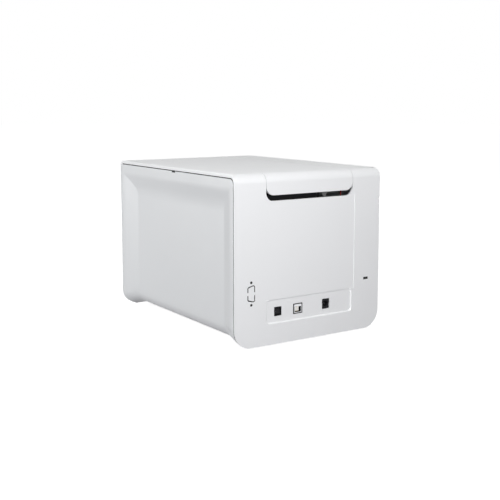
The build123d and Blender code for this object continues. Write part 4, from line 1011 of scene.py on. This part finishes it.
def data_socket():
    """Folded steel shell with a mouth whose two upper corners are cut off, a black lining in the mouth as
    painted shade inside it, and the pale tongue with four contacts."""
    low, high = span("usb_socket")
    size, middle, front = high - low, (low + high) / 2, high[1]
    rim, cut, depth = 1.5, 3.9, 9.0
    outer = rounded_loop(size[0], size[2], 1.0)
    mouth = rounded_loop(size[0] - 2 * rim, size[2] - 2 * rim, 0.5)
    corner = np.clip(np.abs(mouth[:, 0]) - (size[0] / 2 - cut), 0, None)
    mouth[:, 1] = np.minimum(mouth[:, 1], size[2] / 2 - rim - corner)
    inside = drawn_inwards(mouth, 0.15)
    shell = through([
        (low[1], outer), (front - 1.6, outer), (front - 0.4, drawn_inwards(outer, 1.0)),
        (front, drawn_inwards(outer, 1.1)), (front, drawn_inwards(mouth, -0.1)), (front - 0.2, mouth),
        (front - depth, mouth),
    ])
    # Black lining of the mouth: painted shade inside the socket.
    mouth_shade = through([
        (front - depth + 0.1, mouth), (front - 0.8, mouth * 0.999), (front - 0.8, inside),
        (front - depth + 0.6, inside),
    ])
    tongue = soft_box((-2.0, front - 8.5, -3.0), (3.2, front - 1.0, 1.8), 0.3)
    contacts = together([
        soft_box((x - 0.5, front - 7.0, z - 0.12), (x + 0.5, front - 0.9, z + 0.12), 0.1, 0.05)
        for x in (-0.6, 1.8) for z in (-3.05, 1.85)
    ])
    # Black frame in the gap round the socket: painted shade.
    socket_gap_shade("usb_socket", outer, middle)
    for shape, slot, suffix in (
        (shell, "steel", "_skin"), (mouth_shade, "component_black", "_liner"), (tongue, "white_gear", "_tongue"),
        (contacts, "brass", "_contacts"),
    ):
        stand_in("usb_socket", moved(shape, middle[0], 0, middle[2]), slot, suffix)


def socket_gap_shade(node, loop, middle):
    """Black frame in the gap between a socket and its opening, just behind the wall of the recess: painted
    shade for the dark of the gap.
    """
    face = CAD_BOX[1][1] / MILLIMETRE - PORT_DEPTH - SHADE_PLATE_RECESS
    back, inside, outside = face - 0.6, drawn_inwards(loop, 1.0), drawn_inwards(loop, -0.6)
    rings = ((face, inside), (face, outside), (back, outside), (back, inside))
    grid = np.stack([along_axis(y, edge[:, 1], edge[:, 0], "y") for y, edge in rings])
    stand_in(node, moved(woven(grid, True, True), middle[0], 0, middle[2]), "rubber", "_surround")


def power_inlet():
    """Black moulded block with a round well, and a thin pin in the middle of it, made dark as painted shade
    deep in the well.
    """
    low, high = span("power_jack")
    size, middle, front = high - low, (low + high) / 2, high[1]
    well, depth, pin_radius, pin_front, pin_back = 3.4, 8.0, 0.7, front - 2.6, front - 8.2
    turn = np.linspace(0, 2 * np.pi, 48, endpoint=False)
    way = np.stack([np.cos(turn), np.sin(turn)], axis=-1)
    reach = 1 / np.maximum(np.abs(way[:, :1]) / (size[0] / 2), np.abs(way[:, 1:]) / (size[2] / 2))
    block = way * np.minimum(reach, np.hypot(size[0], size[2]) / 2 - 0.7)
    shape = through([
        (low[1], block), (front - 0.5, block), (front, block * 0.93), (front, way * (well + 0.4)),
        (front - 0.5, way * well), (front - depth, way * well),
    ])
    stand_in("power_jack", moved(shape, middle[0], 0, middle[2]))
    # The pin is dark in its black coated finish: painted shade deep in the well.
    profile = [(pin_back, 0, 0), (pin_back, pin_radius, 0), (pin_front, pin_radius, 0.3), (pin_front, 0, 0)]
    pin = moved(turned(profile, "y", 20), middle[0], 0, middle[2])
    stand_in("power_jack", pin, "black_steel", "_pin")


def rocker_switch():
    """Switch frame with a square mouth, and a rocker with a hollow face and two pivot ends."""
    low, high = span("power_switch_body")
    back, front, height = low[1], high[1], 10.2
    middle_x, middle_z = (low[0] + high[0]) / 2, high[2] - height / 2
    outer = rounded_loop((high - low)[0], height, 0.7)
    inner = rounded_loop(7.6, 8.6, 0.4)
    frame_shape = through([
        (back, outer), (front - 0.3, outer), (front, drawn_inwards(outer, 0.3)),
        (front, drawn_inwards(inner, -0.2)), (front - 0.3, inner), (front - 9.4, inner),
    ])
    stand = soft_box((-4.8, back, low[2] - middle_z), (4.8, front - 3.6, 0), 0.3, 0.2)
    stand_in("power_switch_body", moved(together([frame_shape, stand]), middle_x, 0, middle_z))
    low, high = span("power_rocker")
    side = rounded_path([
        (0, -2.6, 0), (-2, -2.6, 0.4), (-2, 2.6, 0.4), (1.9, 3.3, 0.5), (2.2, 0.3, 6.0), (3.5, -3.3, 0.5),
        (0, -2.6, 0),
    ])[:-1]
    body = plate(side + (high[1] - 3.6, middle_z), low[0] + 0.05, high[0] - 0.05, "x", 0.35)
    stand_in("power_rocker", body, "component_black")


def slit_shade_plates():
    """Black plates behind the slits of the knock-out, its two screw holes and the lock slot: painted shade
    for the dark inside them.
    """
    front = CAD_BOX[1][1] / MILLIMETRE - SHADE_PLATE_RECESS
    back = front - SHADE_PLATE_THICKNESS
    places = ((KNOCK_OUT_X, KNOCK_OUT_Z, *KNOCK_OUT_SHADE_PLATE), (LOCK_X, LOCK_Z, *LOCK_SHADE_PLATE))
    shapes = [
        soft_box((x - half_x, back, z - half_z), (x + half_x, front, z + half_z), 0.1, 0.05)
        for x, z, half_x, half_z in places
    ]
    disc = turned([(back, 0, 0), (back, SCREW_SHADE_PLATE, 0), (front, SCREW_SHADE_PLATE, 0), (front, 0, 0)], "y", 24)
    for side in (-1, 1):
        shapes.append(moved(disc, KNOCK_OUT_X, 0, KNOCK_OUT_Z + side * KNOCK_OUT_SCREWS / 2))
    stand_in("knock_out_caps", together(shapes), "rubber", "_fill")


class PRINTER_OT_chassis(Operator):
    """Build the steel chassis, the hinge, the feet and the fasteners"""

    bl_idname = "printer.chassis"
    bl_label = "Chassis"

    def execute(self, context):
        sheets = ("frame_right", "frame_left", "rear_cross_plate", "lid_hinge_brackets", "lower_card_guide")
        soften(skins(*sheets), 0.2, 1)
        skins("knock_out_caps")
        # Black plates behind the slits and holes: painted shade.
        slit_shade_plates()
        turned_rods()
        bushes()
        feet()
        screws()
        return {"FINISHED"}


def rod_profile(low, high, radius, groove=0.0):
    """Lathe profile of a shaft with chamfered ends, and with two clip grooves where asked."""
    chamfer, depth, width = min(0.4, radius / 4), 0.5, 0.8
    profile = [(low, 0, 0), (low, radius - chamfer, 0), (low + chamfer, radius, 0)]
    if groove > 0:
        for start in (low + groove, high - groove - width):
            end, floor = start + width, radius - depth
            profile += [(start, radius, 0), (start, floor, 0), (end, floor, 0), (end, radius, 0)]
    return profile + [(high - chamfer, radius, 0), (high, radius - chamfer, 0), (high, 0, 0)]


def turned_rods():
    """Tie rods between the frame plates, and the two hinge pins of the lid."""
    low, high = span("tie_rods")
    rod = turned(rod_profile(low[0], high[0], TIE_ROD_RADIUS), "x", 32)
    stand_in("tie_rods", together([moved(rod, 0, y, z) for y, z in TIE_ROD_PLACES]))
    low, high = span("lid_hinge_pins")
    middle, radius = (low + high) / 2, (high[2] - low[2]) / 2
    ends = ((low[0], -HINGE_PIN_START), (HINGE_PIN_START, high[0]))
    pins = together([turned(rod_profile(start, end, radius), "x", 32) for start, end in ends])
    stand_in("lid_hinge_pins", moved(pins, 0, middle[1], middle[2]))


def bushes():
    """Flanged plain bearings, one in each frame plate for each lower roller."""
    inner, end = FRAME_X - 1.2, span("roller_bushes")[1][0]
    bore, barrel, flange = 3.05, 5.0, 6.2
    profile = [
        (inner, bore, 0), (inner, flange, 0.3), (FRAME_X, flange, 0.2), (FRAME_X, barrel, 0),
        (end, barrel, 0.3), (end, bore, 0),
    ]
    shapes = []
    for node in LOWER_ROLLERS:
        y, z = middle_of(node)[1:]
        for side in (1, -1):
            mirrored = [(side * along, radius, bend) for along, radius, bend in profile]
            shapes.append(moved(turned(mirrored, "x", 32, ring=True), 0, y, z))
    stand_in("roller_bushes", together(shapes))


def feet():
    """Four turned rubber pads with a round rim and a shallow ring in their base."""
    low, high = span("rubber_feet")
    base, top, pad = low[2], high[2], FOOT_PAD_RADIUS
    profile = [
        (base, 0, 0), (base, 2.2, 0), (base + 0.5, 2.8, 0.3), (base + 0.5, 4.2, 0.3), (base, 4.8, 0.2),
        (base, pad - 0.5, 0.5), (base + 1.2, pad, 0.4), (top, pad - 0.2, 0.3), (top, 0, 0),
    ]
    foot = turned(profile, "z", 40)
    stand_in("rubber_feet", together([moved(foot, x, y) for x, y in FOOT_PLACES]))


def screws():
    """Pan head screws: six up into the tray's posts and six down into its floor."""
    rows = (
        (CASE_SCREW_X, CASE_SCREW_Y, CASE_SCREW_Z, -1, 9.0),
        (FRAME_SCREW_X, FRAME_SCREW_Y, FRAME_SCREW_Z, 1, 3.8),
    )
    shapes = []
    for x, places, z, way, length in rows:
        shapes += [screw_head(side * x, y, z, way, length) for side in (-1, 1) for y in places]
    stand_in("pan_head_screws", together(shapes))


class PRINTER_OT_rollers(Operator):
    """Build the rollers, pulleys, belt and feed motor"""

    bl_idname = "printer.rollers"
    bl_label = "Rollers and belt"

    def execute(self, context):
        for node, (sleeve_half, shaft_radius, grooves, slot) in ROLLERS.items():
            roller(node, sleeve_half, shaft_radius, grooves, slot)
        for node in PULLEYS:
            belt_pulley(node)
        toothed_belt()
        feed_motor()
        return {"FINISHED"}


def roller(node, sleeve_half, shaft_radius, grooves, slot):
    """Ground steel shaft, and a sleeve on it with round ends and, on a drive roller, fine grooves."""
    low, high = span(node)
    middle, radius, bore = (low + high) / 2, (high[2] - low[2]) / 2, shaft_radius - 0.1
    shaft = turned(rod_profile(low[0], high[0], shaft_radius, 1.4), "x", 40)
    stand_in(node, moved(shaft, 0, middle[1], middle[2]), "bright_steel", "_shaft")
    groove = ((-0.5, radius, 0.1), (-0.3, radius - 0.4, 0.1), (0.3, radius - 0.4, 0.1), (0.5, radius, 0.1))
    profile = [(-sleeve_half, bore, 0), (-sleeve_half, radius, 0.7)]
    for place in np.linspace(-sleeve_half, sleeve_half, grooves + 2)[1:-1]:
        profile += [(place + along, depth, bend) for along, depth, bend in groove]
    profile += [(sleeve_half, radius, 0.7), (sleeve_half, bore, 0)]
    sleeve = turned(profile, "x", 64, ring=True)
    stand_in(node, moved(sleeve, 0, middle[1], middle[2]), slot, "_sleeve")


def belt_pulley(node):
    """Toothed pulley with a chamfered flange on its inner side."""
    low, high = span(node)
    middle, rim, bore = (low + high) / 2, (high[2] - low[2]) / 2, 3.0
    start, end = low[0], low[0] + 1.2
    wheel = toothed_wheel(rim - 1.7, rim - 1.0, PULLEY_TEETH, end - 0.1, high[0], bore, samples=8)
    profile = [
        (start, bore, 0), (start, rim - 0.3, 0.1), (start + 0.6, rim, 0.1), (end, rim, 0.1), (end, bore, 0),
    ]
    flange = turned(profile, "x", 56, ring=True)
    stand_in(node, moved(together([wheel, flange]), 0, middle[1], middle[2]))


def belt_line(centres, steps=16):
    """Middle line of a tight belt round equal wheels, as wheel centres and outward angles: round
    each wheel the angle goes from one straight run's outward side to the next one's."""
    centres = np.asarray(centres, float)
    runs = np.roll(centres, -1, axis=0) - centres
    out = np.unwrap(np.arctan2(-runs[:, 0], runs[:, 1]))
    before = np.concatenate([[out[-1] - 2 * np.pi], out[:-1]])
    angle = np.concatenate([np.linspace(start, end, steps) for start, end in zip(before, out)])
    angle = np.append(angle, angle[0] + 2 * np.pi)
    middle = np.concatenate([np.repeat(centres, steps, axis=0), centres[:1]])
    return middle, angle


def toothed_belt():
    """Belt carried along its line: the outside is plain and the inside has square teeth."""
    low, high = span("timing_belt")
    wheels = ("pick_pulley", "feed_motor_pulley", "rear_drive_pulley")
    middle, angle = belt_line([middle_of(node)[1:] for node in wheels])
    outer = middle[0, 0] - low[1]
    line = middle + (outer - 0.6) * np.stack([np.cos(angle), np.sin(angle)], axis=-1)
    length = np.concatenate([[0], np.cumsum(np.hypot(*np.diff(line, axis=0).T))])
    teeth = int(length[-1] / BELT_PITCH)
    place = np.linspace(0, length[-1], teeth * 6, endpoint=False)
    y, z, way = (np.interp(place, length, values) for values in (*middle.T, angle))
    tooth = np.clip(1.5 * np.cos(place / length[-1] * teeth * 2 * np.pi), -0.5, 0.5)
    inside, outside = outer - 0.95 - 0.5 * tooth, outer + 0 * place
    edges = ((low[0], inside), (low[0], outside), (high[0], outside), (high[0], inside))
    cos, sin = np.cos(way), np.sin(way)
    grid = np.stack([along_axis(x, y + reach * cos, z + reach * sin, "x") for x, reach in edges])
    stand_in("timing_belt", woven(grid, round_rows=True, round_columns=True))


def feed_motor():
    """Step motor of two cast end caps and a stack of plates between them, with its round boss, and
    the shaft with its toothed pulley."""
    low, high = span("feed_motor")
    middle, side, back, face = (low + high) / 2, high[2] - low[2], low[0], FRAME_X
    cap, core = rounded_loop(side, side, 3.5), rounded_loop(side - 1.0, side - 1.0, 6.5)
    stack = ((back, back + 7, cap), (back + 7, face - 8, core), (face - 8, face, cap))
    shapes = [plate(loop, start, end, "x", 0.6) for start, end, loop in stack]
    bore, boss = MOTOR_SHAFT_RADIUS + 0.1, MOTOR_BOSS_RADIUS
    profile = [(face - 1, bore, 0), (face - 1, boss, 0), (high[0], boss, 0.4), (high[0], bore, 0.2)]
    shapes.append(turned(profile, "x", 48, ring=True))
    stand_in("feed_motor", moved(together(shapes), 0, middle[1], middle[2]))
    low, high = span("feed_motor_pulley")
    rim, bore, end = (high[2] - low[2]) / 2, MOTOR_SHAFT_RADIUS - 0.1, high[0] - 1.2
    shaft = turned(rod_profile(low[0], high[0], MOTOR_SHAFT_RADIUS), "x", 32)
    wheel = toothed_wheel(rim - 1.7, rim - 1.0, PULLEY_TEETH, end - 5.0, end, bore, samples=8)
    profile = [(end - 6.0, bore, 0), (end - 6.0, rim, 0.3), (end - 4.8, rim, 0.1), (end - 4.8, bore, 0)]
    flange = turned(profile, "x", 56, ring=True)
    stand_in("feed_motor_pulley", moved(together([shaft, wheel, flange]), 0, middle[1], middle[2]))


class PRINTER_OT_ribbon(Operator):
    """Build the ribbon spools, the film and their motor"""

    bl_idname = "printer.ribbon"
    bl_label = "Ribbon"

    def execute(self, context):
        for node, film_radius in SPOOLS.items():
            ribbon_spool(node, film_radius)
        skins("ribbon_film")
        ribbon_gears()
        soften(skins("ribbon_motor"), 0.3)
        return {"FINISHED"}


def ribbon_spool(node, film_radius):
    """Moulded core with two flanges and hollow trunnions, and the wound film whose ends show the
    turns."""
    low, high = span(node)
    far, middle = high[0], (low + high) / 2
    trunnion, core, flange, film_end = TRUNNION_RADIUS, CORE_RADIUS, FLANGE_RADIUS, FILM_HALF
    profile = [
        (far - 6, 0, 0), (far - 6, 3.4, 0.3), (far, 3.8, 0.2), (far, trunnion, 0.5),
        (CORE_HALF, trunnion, 0.3), (CORE_HALF, core, 0.3), (33.2, core, 0.3), (32.0, flange - 1.5, 0.4),
        (32.0, flange, 0.4), (30.6, flange, 0.4), (30.0, flange - 1.5, 0.4), (30.0, core, 0),
    ]
    profile += [(-along, radius, bend) for along, radius, bend in reversed(profile)]
    stand_in(node, moved(turned(profile, "x", 64), 0, middle[1], middle[2]), "white_gear", "_core")
    turns = enumerate(np.arange(core + FILM_TURN, film_radius - 0.4, FILM_TURN))
    ends = [(film_end - 0.18 * (step % 2), radius, 0) for step, radius in turns]
    wound = [(film_end, film_radius, 0.2), *reversed(ends), (film_end, core - 0.1, 0)]
    wound = [(-along, radius, bend) for along, radius, bend in reversed(wound)] + wound
    film = turned(wound, "x", 72, ring=True)
    stand_in(node, moved(film, 0, middle[1], middle[2]), "ribbon", "_film")


def ribbon_gears():
    """Take-up gear and the small gear that drives it. Their phases put a tooth into a gap on the
    line between the two centres."""
    spool, motor = middle_of("take_up_spool"), middle_of("ribbon_motor_gear")
    towards = math.atan2(motor[2] - spool[2], motor[1] - spool[1])
    gap = towards + math.pi + math.pi / MOTOR_TEETH
    start = span("take_up_spool")[0][0]
    large = toothed_wheel(12.7, 13.7, TAKE_UP_TEETH, start, start + 5, 5.6, towards, TOOTH_NARROWING)
    stand_in("take_up_spool", moved(large, 0, spool[1], spool[2]), "white_gear", "_gear")
    small = toothed_wheel(8.45, 9.45, MOTOR_TEETH, start, start + 4.7, 1.4, gap, TOOTH_NARROWING)
    low, high = span("ribbon_motor_gear")
    shaft = turned(rod_profile(low[0], high[0], 1.5), "x", 24)
    stand_in("ribbon_motor_gear", moved(together([small, shaft]), 0, motor[1], motor[2]))


class PRINTER_OT_print_head(Operator):
    """Build the print head with its heat sink, carrier and springs"""

    bl_idname = "printer.print_head"
    bl_label = "Print head"

    def execute(self, context):
        soften(skins("head_carrier", "print_head", "head_heatsink"), 0.2)
        head_springs()
        return {"FINISHED"}


def head_springs():
    """Two coil springs between the heat sink and the carrier."""
    low, high = span("head_springs")
    radius, middle_y = (high[1] - low[1]) / 2, (low[1] + high[1]) / 2
    one = coil(radius - SPRING_WIRE, SPRING_WIRE, SPRING_TURNS, low[2], high[2])
    springs = [moved(one, x, middle_y) for x in (low[0] + radius, high[0] - radius)]
    piece = stand_in("head_springs", together(springs))
    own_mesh(piece)


class PRINTER_OT_electronics(Operator):
    """Build the main board with its components, the fan, the lid sensor and its wires"""

    bl_idname = "printer.electronics"
    bl_label = "Electronics"

    def execute(self, context):
        soften(skins("main_board", "lid_sensor", "cooling_fan_frame"), 0.15)
        skins("sensor_wires")
        board_parts()
        fan_blades()
        return {"FINISHED"}


def legs(low, high, along_x):
    """Legs of a chip: small flat bars in two rows beside its body, along X or along Y."""
    way, across = (0, 1) if along_x else (1, 0)
    bars = []
    for place in np.linspace(low[way] + 1.0, high[way] - 1.0, CHIP_LEGS):
        for near in (low[across] - LEG_LENGTH, high[across]):
            start, end = np.full(3, low[2], float), np.full(3, low[2] + 0.5)
            start[way], end[way] = place - 0.2, place + 0.2
            start[across], end[across] = near, near + LEG_LENGTH
            bars.append(soft_box(start, end, 0.08, 0.05))
    return bars


def board_parts():
    """Chips with legs, sleeved capacitors with bare tops, plug headers with pins, a coil and a
    power block."""
    low, high = span("board_components")
    base, top = low[2], high[2]
    chips = [((-10, 84, base), (10, 104, base + 2.0)), ((24, 80, base), (40, 92, base + 2.2))]
    black = [soft_box(one, other, 0.4) for one, other in chips]
    black.append(soft_box((-52, 104, base), (-40, 120, base + 9), 0.8, 0.5))
    metal = [leg for one, other in chips for along_x in (True, False) for leg in legs(one, other, along_x)]
    sleeve = turned([
        (base, 0, 0), (base, 4.6, 0.3), (base + 1.2, 5.0, 0.3), (base + 1.8, 4.6, 0.3),
        (base + 2.4, 5.0, 0.3), (top - 0.1, 5.0, 0.6), (top - 0.1, 3.9, 0), (top - 0.4, 3.9, 0),
        (top - 0.4, 0, 0),
    ], "z", 40)
    cap = turned([
        (top - 0.5, 0, 0), (top - 0.5, 4.1, 0), (top - 0.15, 4.1, 0.1), (top - 0.3, 1.6, 1),
        (top - 0.3, 0, 0),
    ], "z", 32)
    black += [moved(sleeve, x, CAPACITORS_Y) for x in CAPACITORS_X]
    metal += [moved(cap, x, CAPACITORS_Y) for x in CAPACITORS_X]
    ring = [(base + 0.2, 2.4, 0.6), (base + 0.2, 6.0, 1.2), (base + 5.0, 6.0, 1.2), (base + 5.0, 2.4, 0.6)]
    black.append(moved(turned(ring, "z", 40, ring=True), 0, 122))
    loop, inner = rounded_loop(12, 5, 0.4), rounded_loop(10.4, 3.6, 0.3)
    header = through([(base, loop), (base + 7, loop), (base + 7, inner), (base + 1.6, inner)], "z")
    headers = [moved(header, x + 6, HEADERS_Y) for x in HEADERS_X]
    pins = [
        soft_box((x, HEADERS_Y - 0.3, base + 1), (x + 0.6, HEADERS_Y + 0.3, base + 6), 0.1, 0.1)
        for first in HEADERS_X for x in first + 2 + 2 * np.arange(HEADER_PINS)
    ]
    for shapes, slot, suffix in (
        (black, None, "_skin"), (metal, "aluminium", "_metal"), (headers, "white_gear", "_headers"),
        (pins, "brass", "_pins"),
    ):
        stand_in("board_components", together(shapes), slot, suffix)


def fan_blades():
    """Fan rotor: a capped hub and seven blades. A blade is a curved strip whose pitch angle falls
    from root to tip: along the chord v it stands at v sin(pitch) less a small camber (1 - v^2)."""
    low, high = span("fan_rotor")
    back, front, middle_y = low[1], high[1], (low[1] + high[1]) / 2
    hub = turned([
        (back, 0, 0), (back, 7.4, 0.3), (back + 0.5, 8.0, 0.3), (front - 0.6, 8.0, 0.6), (front, 7.2, 0.4),
        (front, 0, 0),
    ], "y", 48)
    shapes = [moved(hub, 0, 0, FAN_HEIGHT)]
    reach, pitch, wide, twist = (
        np.linspace(root, tip, 9)[:, None] for root, tip in ((7.6, 16.2), (42, 24), (2.6, 3.4), (0, 0.25))
    )
    chord, pitch = np.linspace(-1, 1, 9), np.radians(pitch)
    rise = np.clip(chord * wide * np.sin(pitch) - 0.35 * (1 - chord**2), -2.4, 2.4)
    sweep = chord * wide * np.cos(pitch) / reach + twist
    for turn in range(FAN_BLADES):
        angle = sweep + turn * 2 * np.pi / FAN_BLADES
        x, z = reach * np.cos(angle), FAN_HEIGHT + reach * np.sin(angle)
        sides = [
            np.stack([x, middle_y + rise + lift, z], axis=-1)
            for lift in (BLADE_HALF_THICKNESS, -BLADE_HALF_THICKNESS)
        ]
        shapes.append(outward(*closed_wall(*sides)))
    stand_in("fan_rotor", together(shapes))


# Studio

# For each lamp: its setting, its place and the length of its side, in metres
LAMPS = {
    "near top lamp": ("near_power", (0.157, 0.678, 0.571), 0.4),
    "key lamp": ("key_power", (0.581, 1.147, 0.487), 0.6),
    "side lamp": ("side_power", (1.282, 0.329, 0.588), 0.8),
    "front corner lamp": ("corner_power", (0.756, -0.594, 0.220), 0.4),
    "top lamp": ("top_power", (0.0, -1.03, 1.54), 1.2),
    "left lamp": ("left_power", (-1.1, -0.9, 0.1), 0.2),
}
LAMP_AIM = Vector((0.0, 0.05, 0.1))
FLOOR_RADIUS = 9000.0
CAMERA_PLACE, CAMERA_YAW, CAMERA_PITCH = (0.6103, 0.9544, 0.2748), 33.449, 7.043
SENSOR_WIDTH, CAMERA_SHIFT = 36.0, -0.08


def area_lamp(name, place, size, power):
    """Soft square lamp at a place, turned towards the middle of the printer."""
    lamp = bpy.data.lights.new(name, "AREA")
    lamp.shape = "SQUARE"
    lamp.size, lamp.energy = size, power
    holder = bpy.data.objects.new(name, lamp)
    bpy.context.scene.collection.objects.link(holder)
    holder.location = place
    holder.rotation_euler = (LAMP_AIM - Vector(place)).to_track_quat("-Z", "Y").to_euler()
    holder.visible_camera = False


def seen_or_lit(tree, surface, lit, seen):
    """Shows one shader where the camera looks, straight or by way of a mirror or glass, and the
    other where a surface gathers its light."""
    path = node_of(tree, "LightPath", {}).outputs
    factor = path["Is Camera Ray"]
    for kind in ("Is Glossy Ray", "Is Transmission Ray"):
        most = tree.nodes.new("ShaderNodeMath")
        most.operation = "MAXIMUM"
        factor = feed(tree, most, {0: factor, 1: path[kind]}).outputs[0]
    choose = node_of(tree, "MixShader", {0: factor, 1: lit.outputs[0], 2: seen.outputs[0]})
    tree.links.new(choose.outputs[0], surface)


def pale_floor(glow_level, table_colour):
    """Floor that the camera sees as white with the object's soft shadow, and that the object
    sees as a grey table. Away from the object its glow grows to full white."""
    material = bpy.data.materials.new("pale floor")
    tree, surface = fresh_tree(material, "ShaderNodeOutputMaterial")
    distance = tree.nodes.new("ShaderNodeVectorMath")
    distance.operation = "LENGTH"
    feed(tree, distance, {0: node_of(tree, "TexCoord", {}).outputs["Object"]})
    fade = {"From Min": 0.3, "From Max": 1.0, "To Min": glow_level, "To Max": 1.0}
    fade = node_of(tree, "MapRange", {**fade, "Value": distance.outputs["Value"]})
    glow = node_of(tree, "Emission", {"Strength": fade.outputs["Result"]})
    white = node_of(tree, "BsdfDiffuse", {"Color": (0.5, 0.5, 0.5, 1)})
    seen = node_of(tree, "AddShader", {0: white.outputs[0], 1: glow.outputs[0]})
    seen_or_lit(tree, surface, node_of(tree, "BsdfDiffuse", {"Color": (*table_colour, 1)}), seen)
    return material


def studio_sky(level):
    """World that lights the object a little from all round and shows white to the camera."""
    world = bpy.data.worlds.new("studio sky")
    tree, surface = fresh_tree(world, "ShaderNodeOutputWorld")
    soft = node_of(tree, "Background", {"Color": (0.93, 0.96, 1.0, 1), "Strength": level})
    white = node_of(tree, "Background", {"Color": (1, 1, 1, 1), "Strength": 1.0})
    seen_or_lit(tree, surface, soft, white)
    return world


def round_floor(radius):
    """Flat round floor: rings of points at distance s^2 times the radius, at angle t."""
    share = np.linspace(0, 1, 9)[:, None] ** 2 * radius
    turn = np.linspace(0, 2 * np.pi, 65)
    grid = along_axis(share * np.cos(turn), share * np.sin(turn), 0, "x")
    return mesh_of("studio floor", grid.reshape(-1, 3), quads(np.arange(9 * 65).reshape(9, 65))[:, ::-1])


class PRINTER_OT_studio(Operator):
    """Build the floor, the lamps, the sky and the camera"""

    bl_idname = "printer.studio"
    bl_label = "Studio"

    def execute(self, context):
        scene = context.scene
        studio = scene.printer_studio
        floor = bpy.data.objects.new("studio_floor", round_floor(FLOOR_RADIUS))
        floor.data.materials.append(pale_floor(studio.floor_glow, studio.table_colour))
        scene.collection.objects.link(floor)
        scene.world = studio_sky(studio.sky_level)
        for name, (power, place, size) in LAMPS.items():
            area_lamp(name, place, size, getattr(studio, power))
        camera = bpy.data.cameras.new("photo camera")
        camera.lens, camera.sensor_width, camera.shift_y = studio.lens, SENSOR_WIDTH, CAMERA_SHIFT
        holder = bpy.data.objects.new("photo camera", camera)
        scene.collection.objects.link(holder)
        yaw, pitch = math.radians(CAMERA_YAW), math.radians(CAMERA_PITCH)
        ahead = Vector((-math.sin(yaw) * math.cos(pitch), -math.cos(yaw) * math.cos(pitch), -math.sin(pitch)))
        holder.location = CAMERA_PLACE
        holder.rotation_euler = ahead.to_track_quat("-Z", "Y").to_euler()
        scene.camera = holder
        scene.view_settings.view_transform = "Standard"
        return {"FINISHED"}


PIECE_OPERATORS = (
    PRINTER_OT_side_covers,
    PRINTER_OT_white_covers,
    PRINTER_OT_hopper,
    PRINTER_OT_sockets,
    PRINTER_OT_chassis,
    PRINTER_OT_rollers,
    PRINTER_OT_ribbon,
    PRINTER_OT_print_head,
    PRINTER_OT_electronics,
    PRINTER_OT_studio,
)


class PRINTER_PT_parts(Panel):
    """Panel that lists the printer's pieces"""

    bl_label = "Card Printer"
    bl_space_type = "VIEW_3D"
    bl_region_type = "UI"
    bl_category = "Card Printer"

    def draw(self, context):
        layout = self.layout
        scene = context.scene
        for settings in (scene.printer_shell, scene.printer_studio):
            box = layout.box()
            for name in settings.bl_rna.properties.keys():
                if name not in ("rna_type", "name"):
                    box.prop(settings, name)
        for operator in PIECE_OPERATORS:
            layout.operator(operator.bl_idname)


CLASSES = (PrinterShell, PrinterStudio, *PIECE_OPERATORS, PRINTER_PT_parts)


def register():
    for one in CLASSES:
        bpy.utils.register_class(one)
    bpy.types.Scene.printer_shell = PointerProperty(type=PrinterShell)
    bpy.types.Scene.printer_studio = PointerProperty(type=PrinterStudio)


def unregister():
    del bpy.types.Scene.printer_studio
    del bpy.types.Scene.printer_shell
    for one in reversed(CLASSES):
        bpy.utils.unregister_class(one)


def main():
    """Builds every piece in order."""
    register()
    for operator in PIECE_OPERATORS:
        group, name = operator.bl_idname.split(".")
        getattr(getattr(bpy.ops, group), name)()


if __name__ == "__main__":
    main()
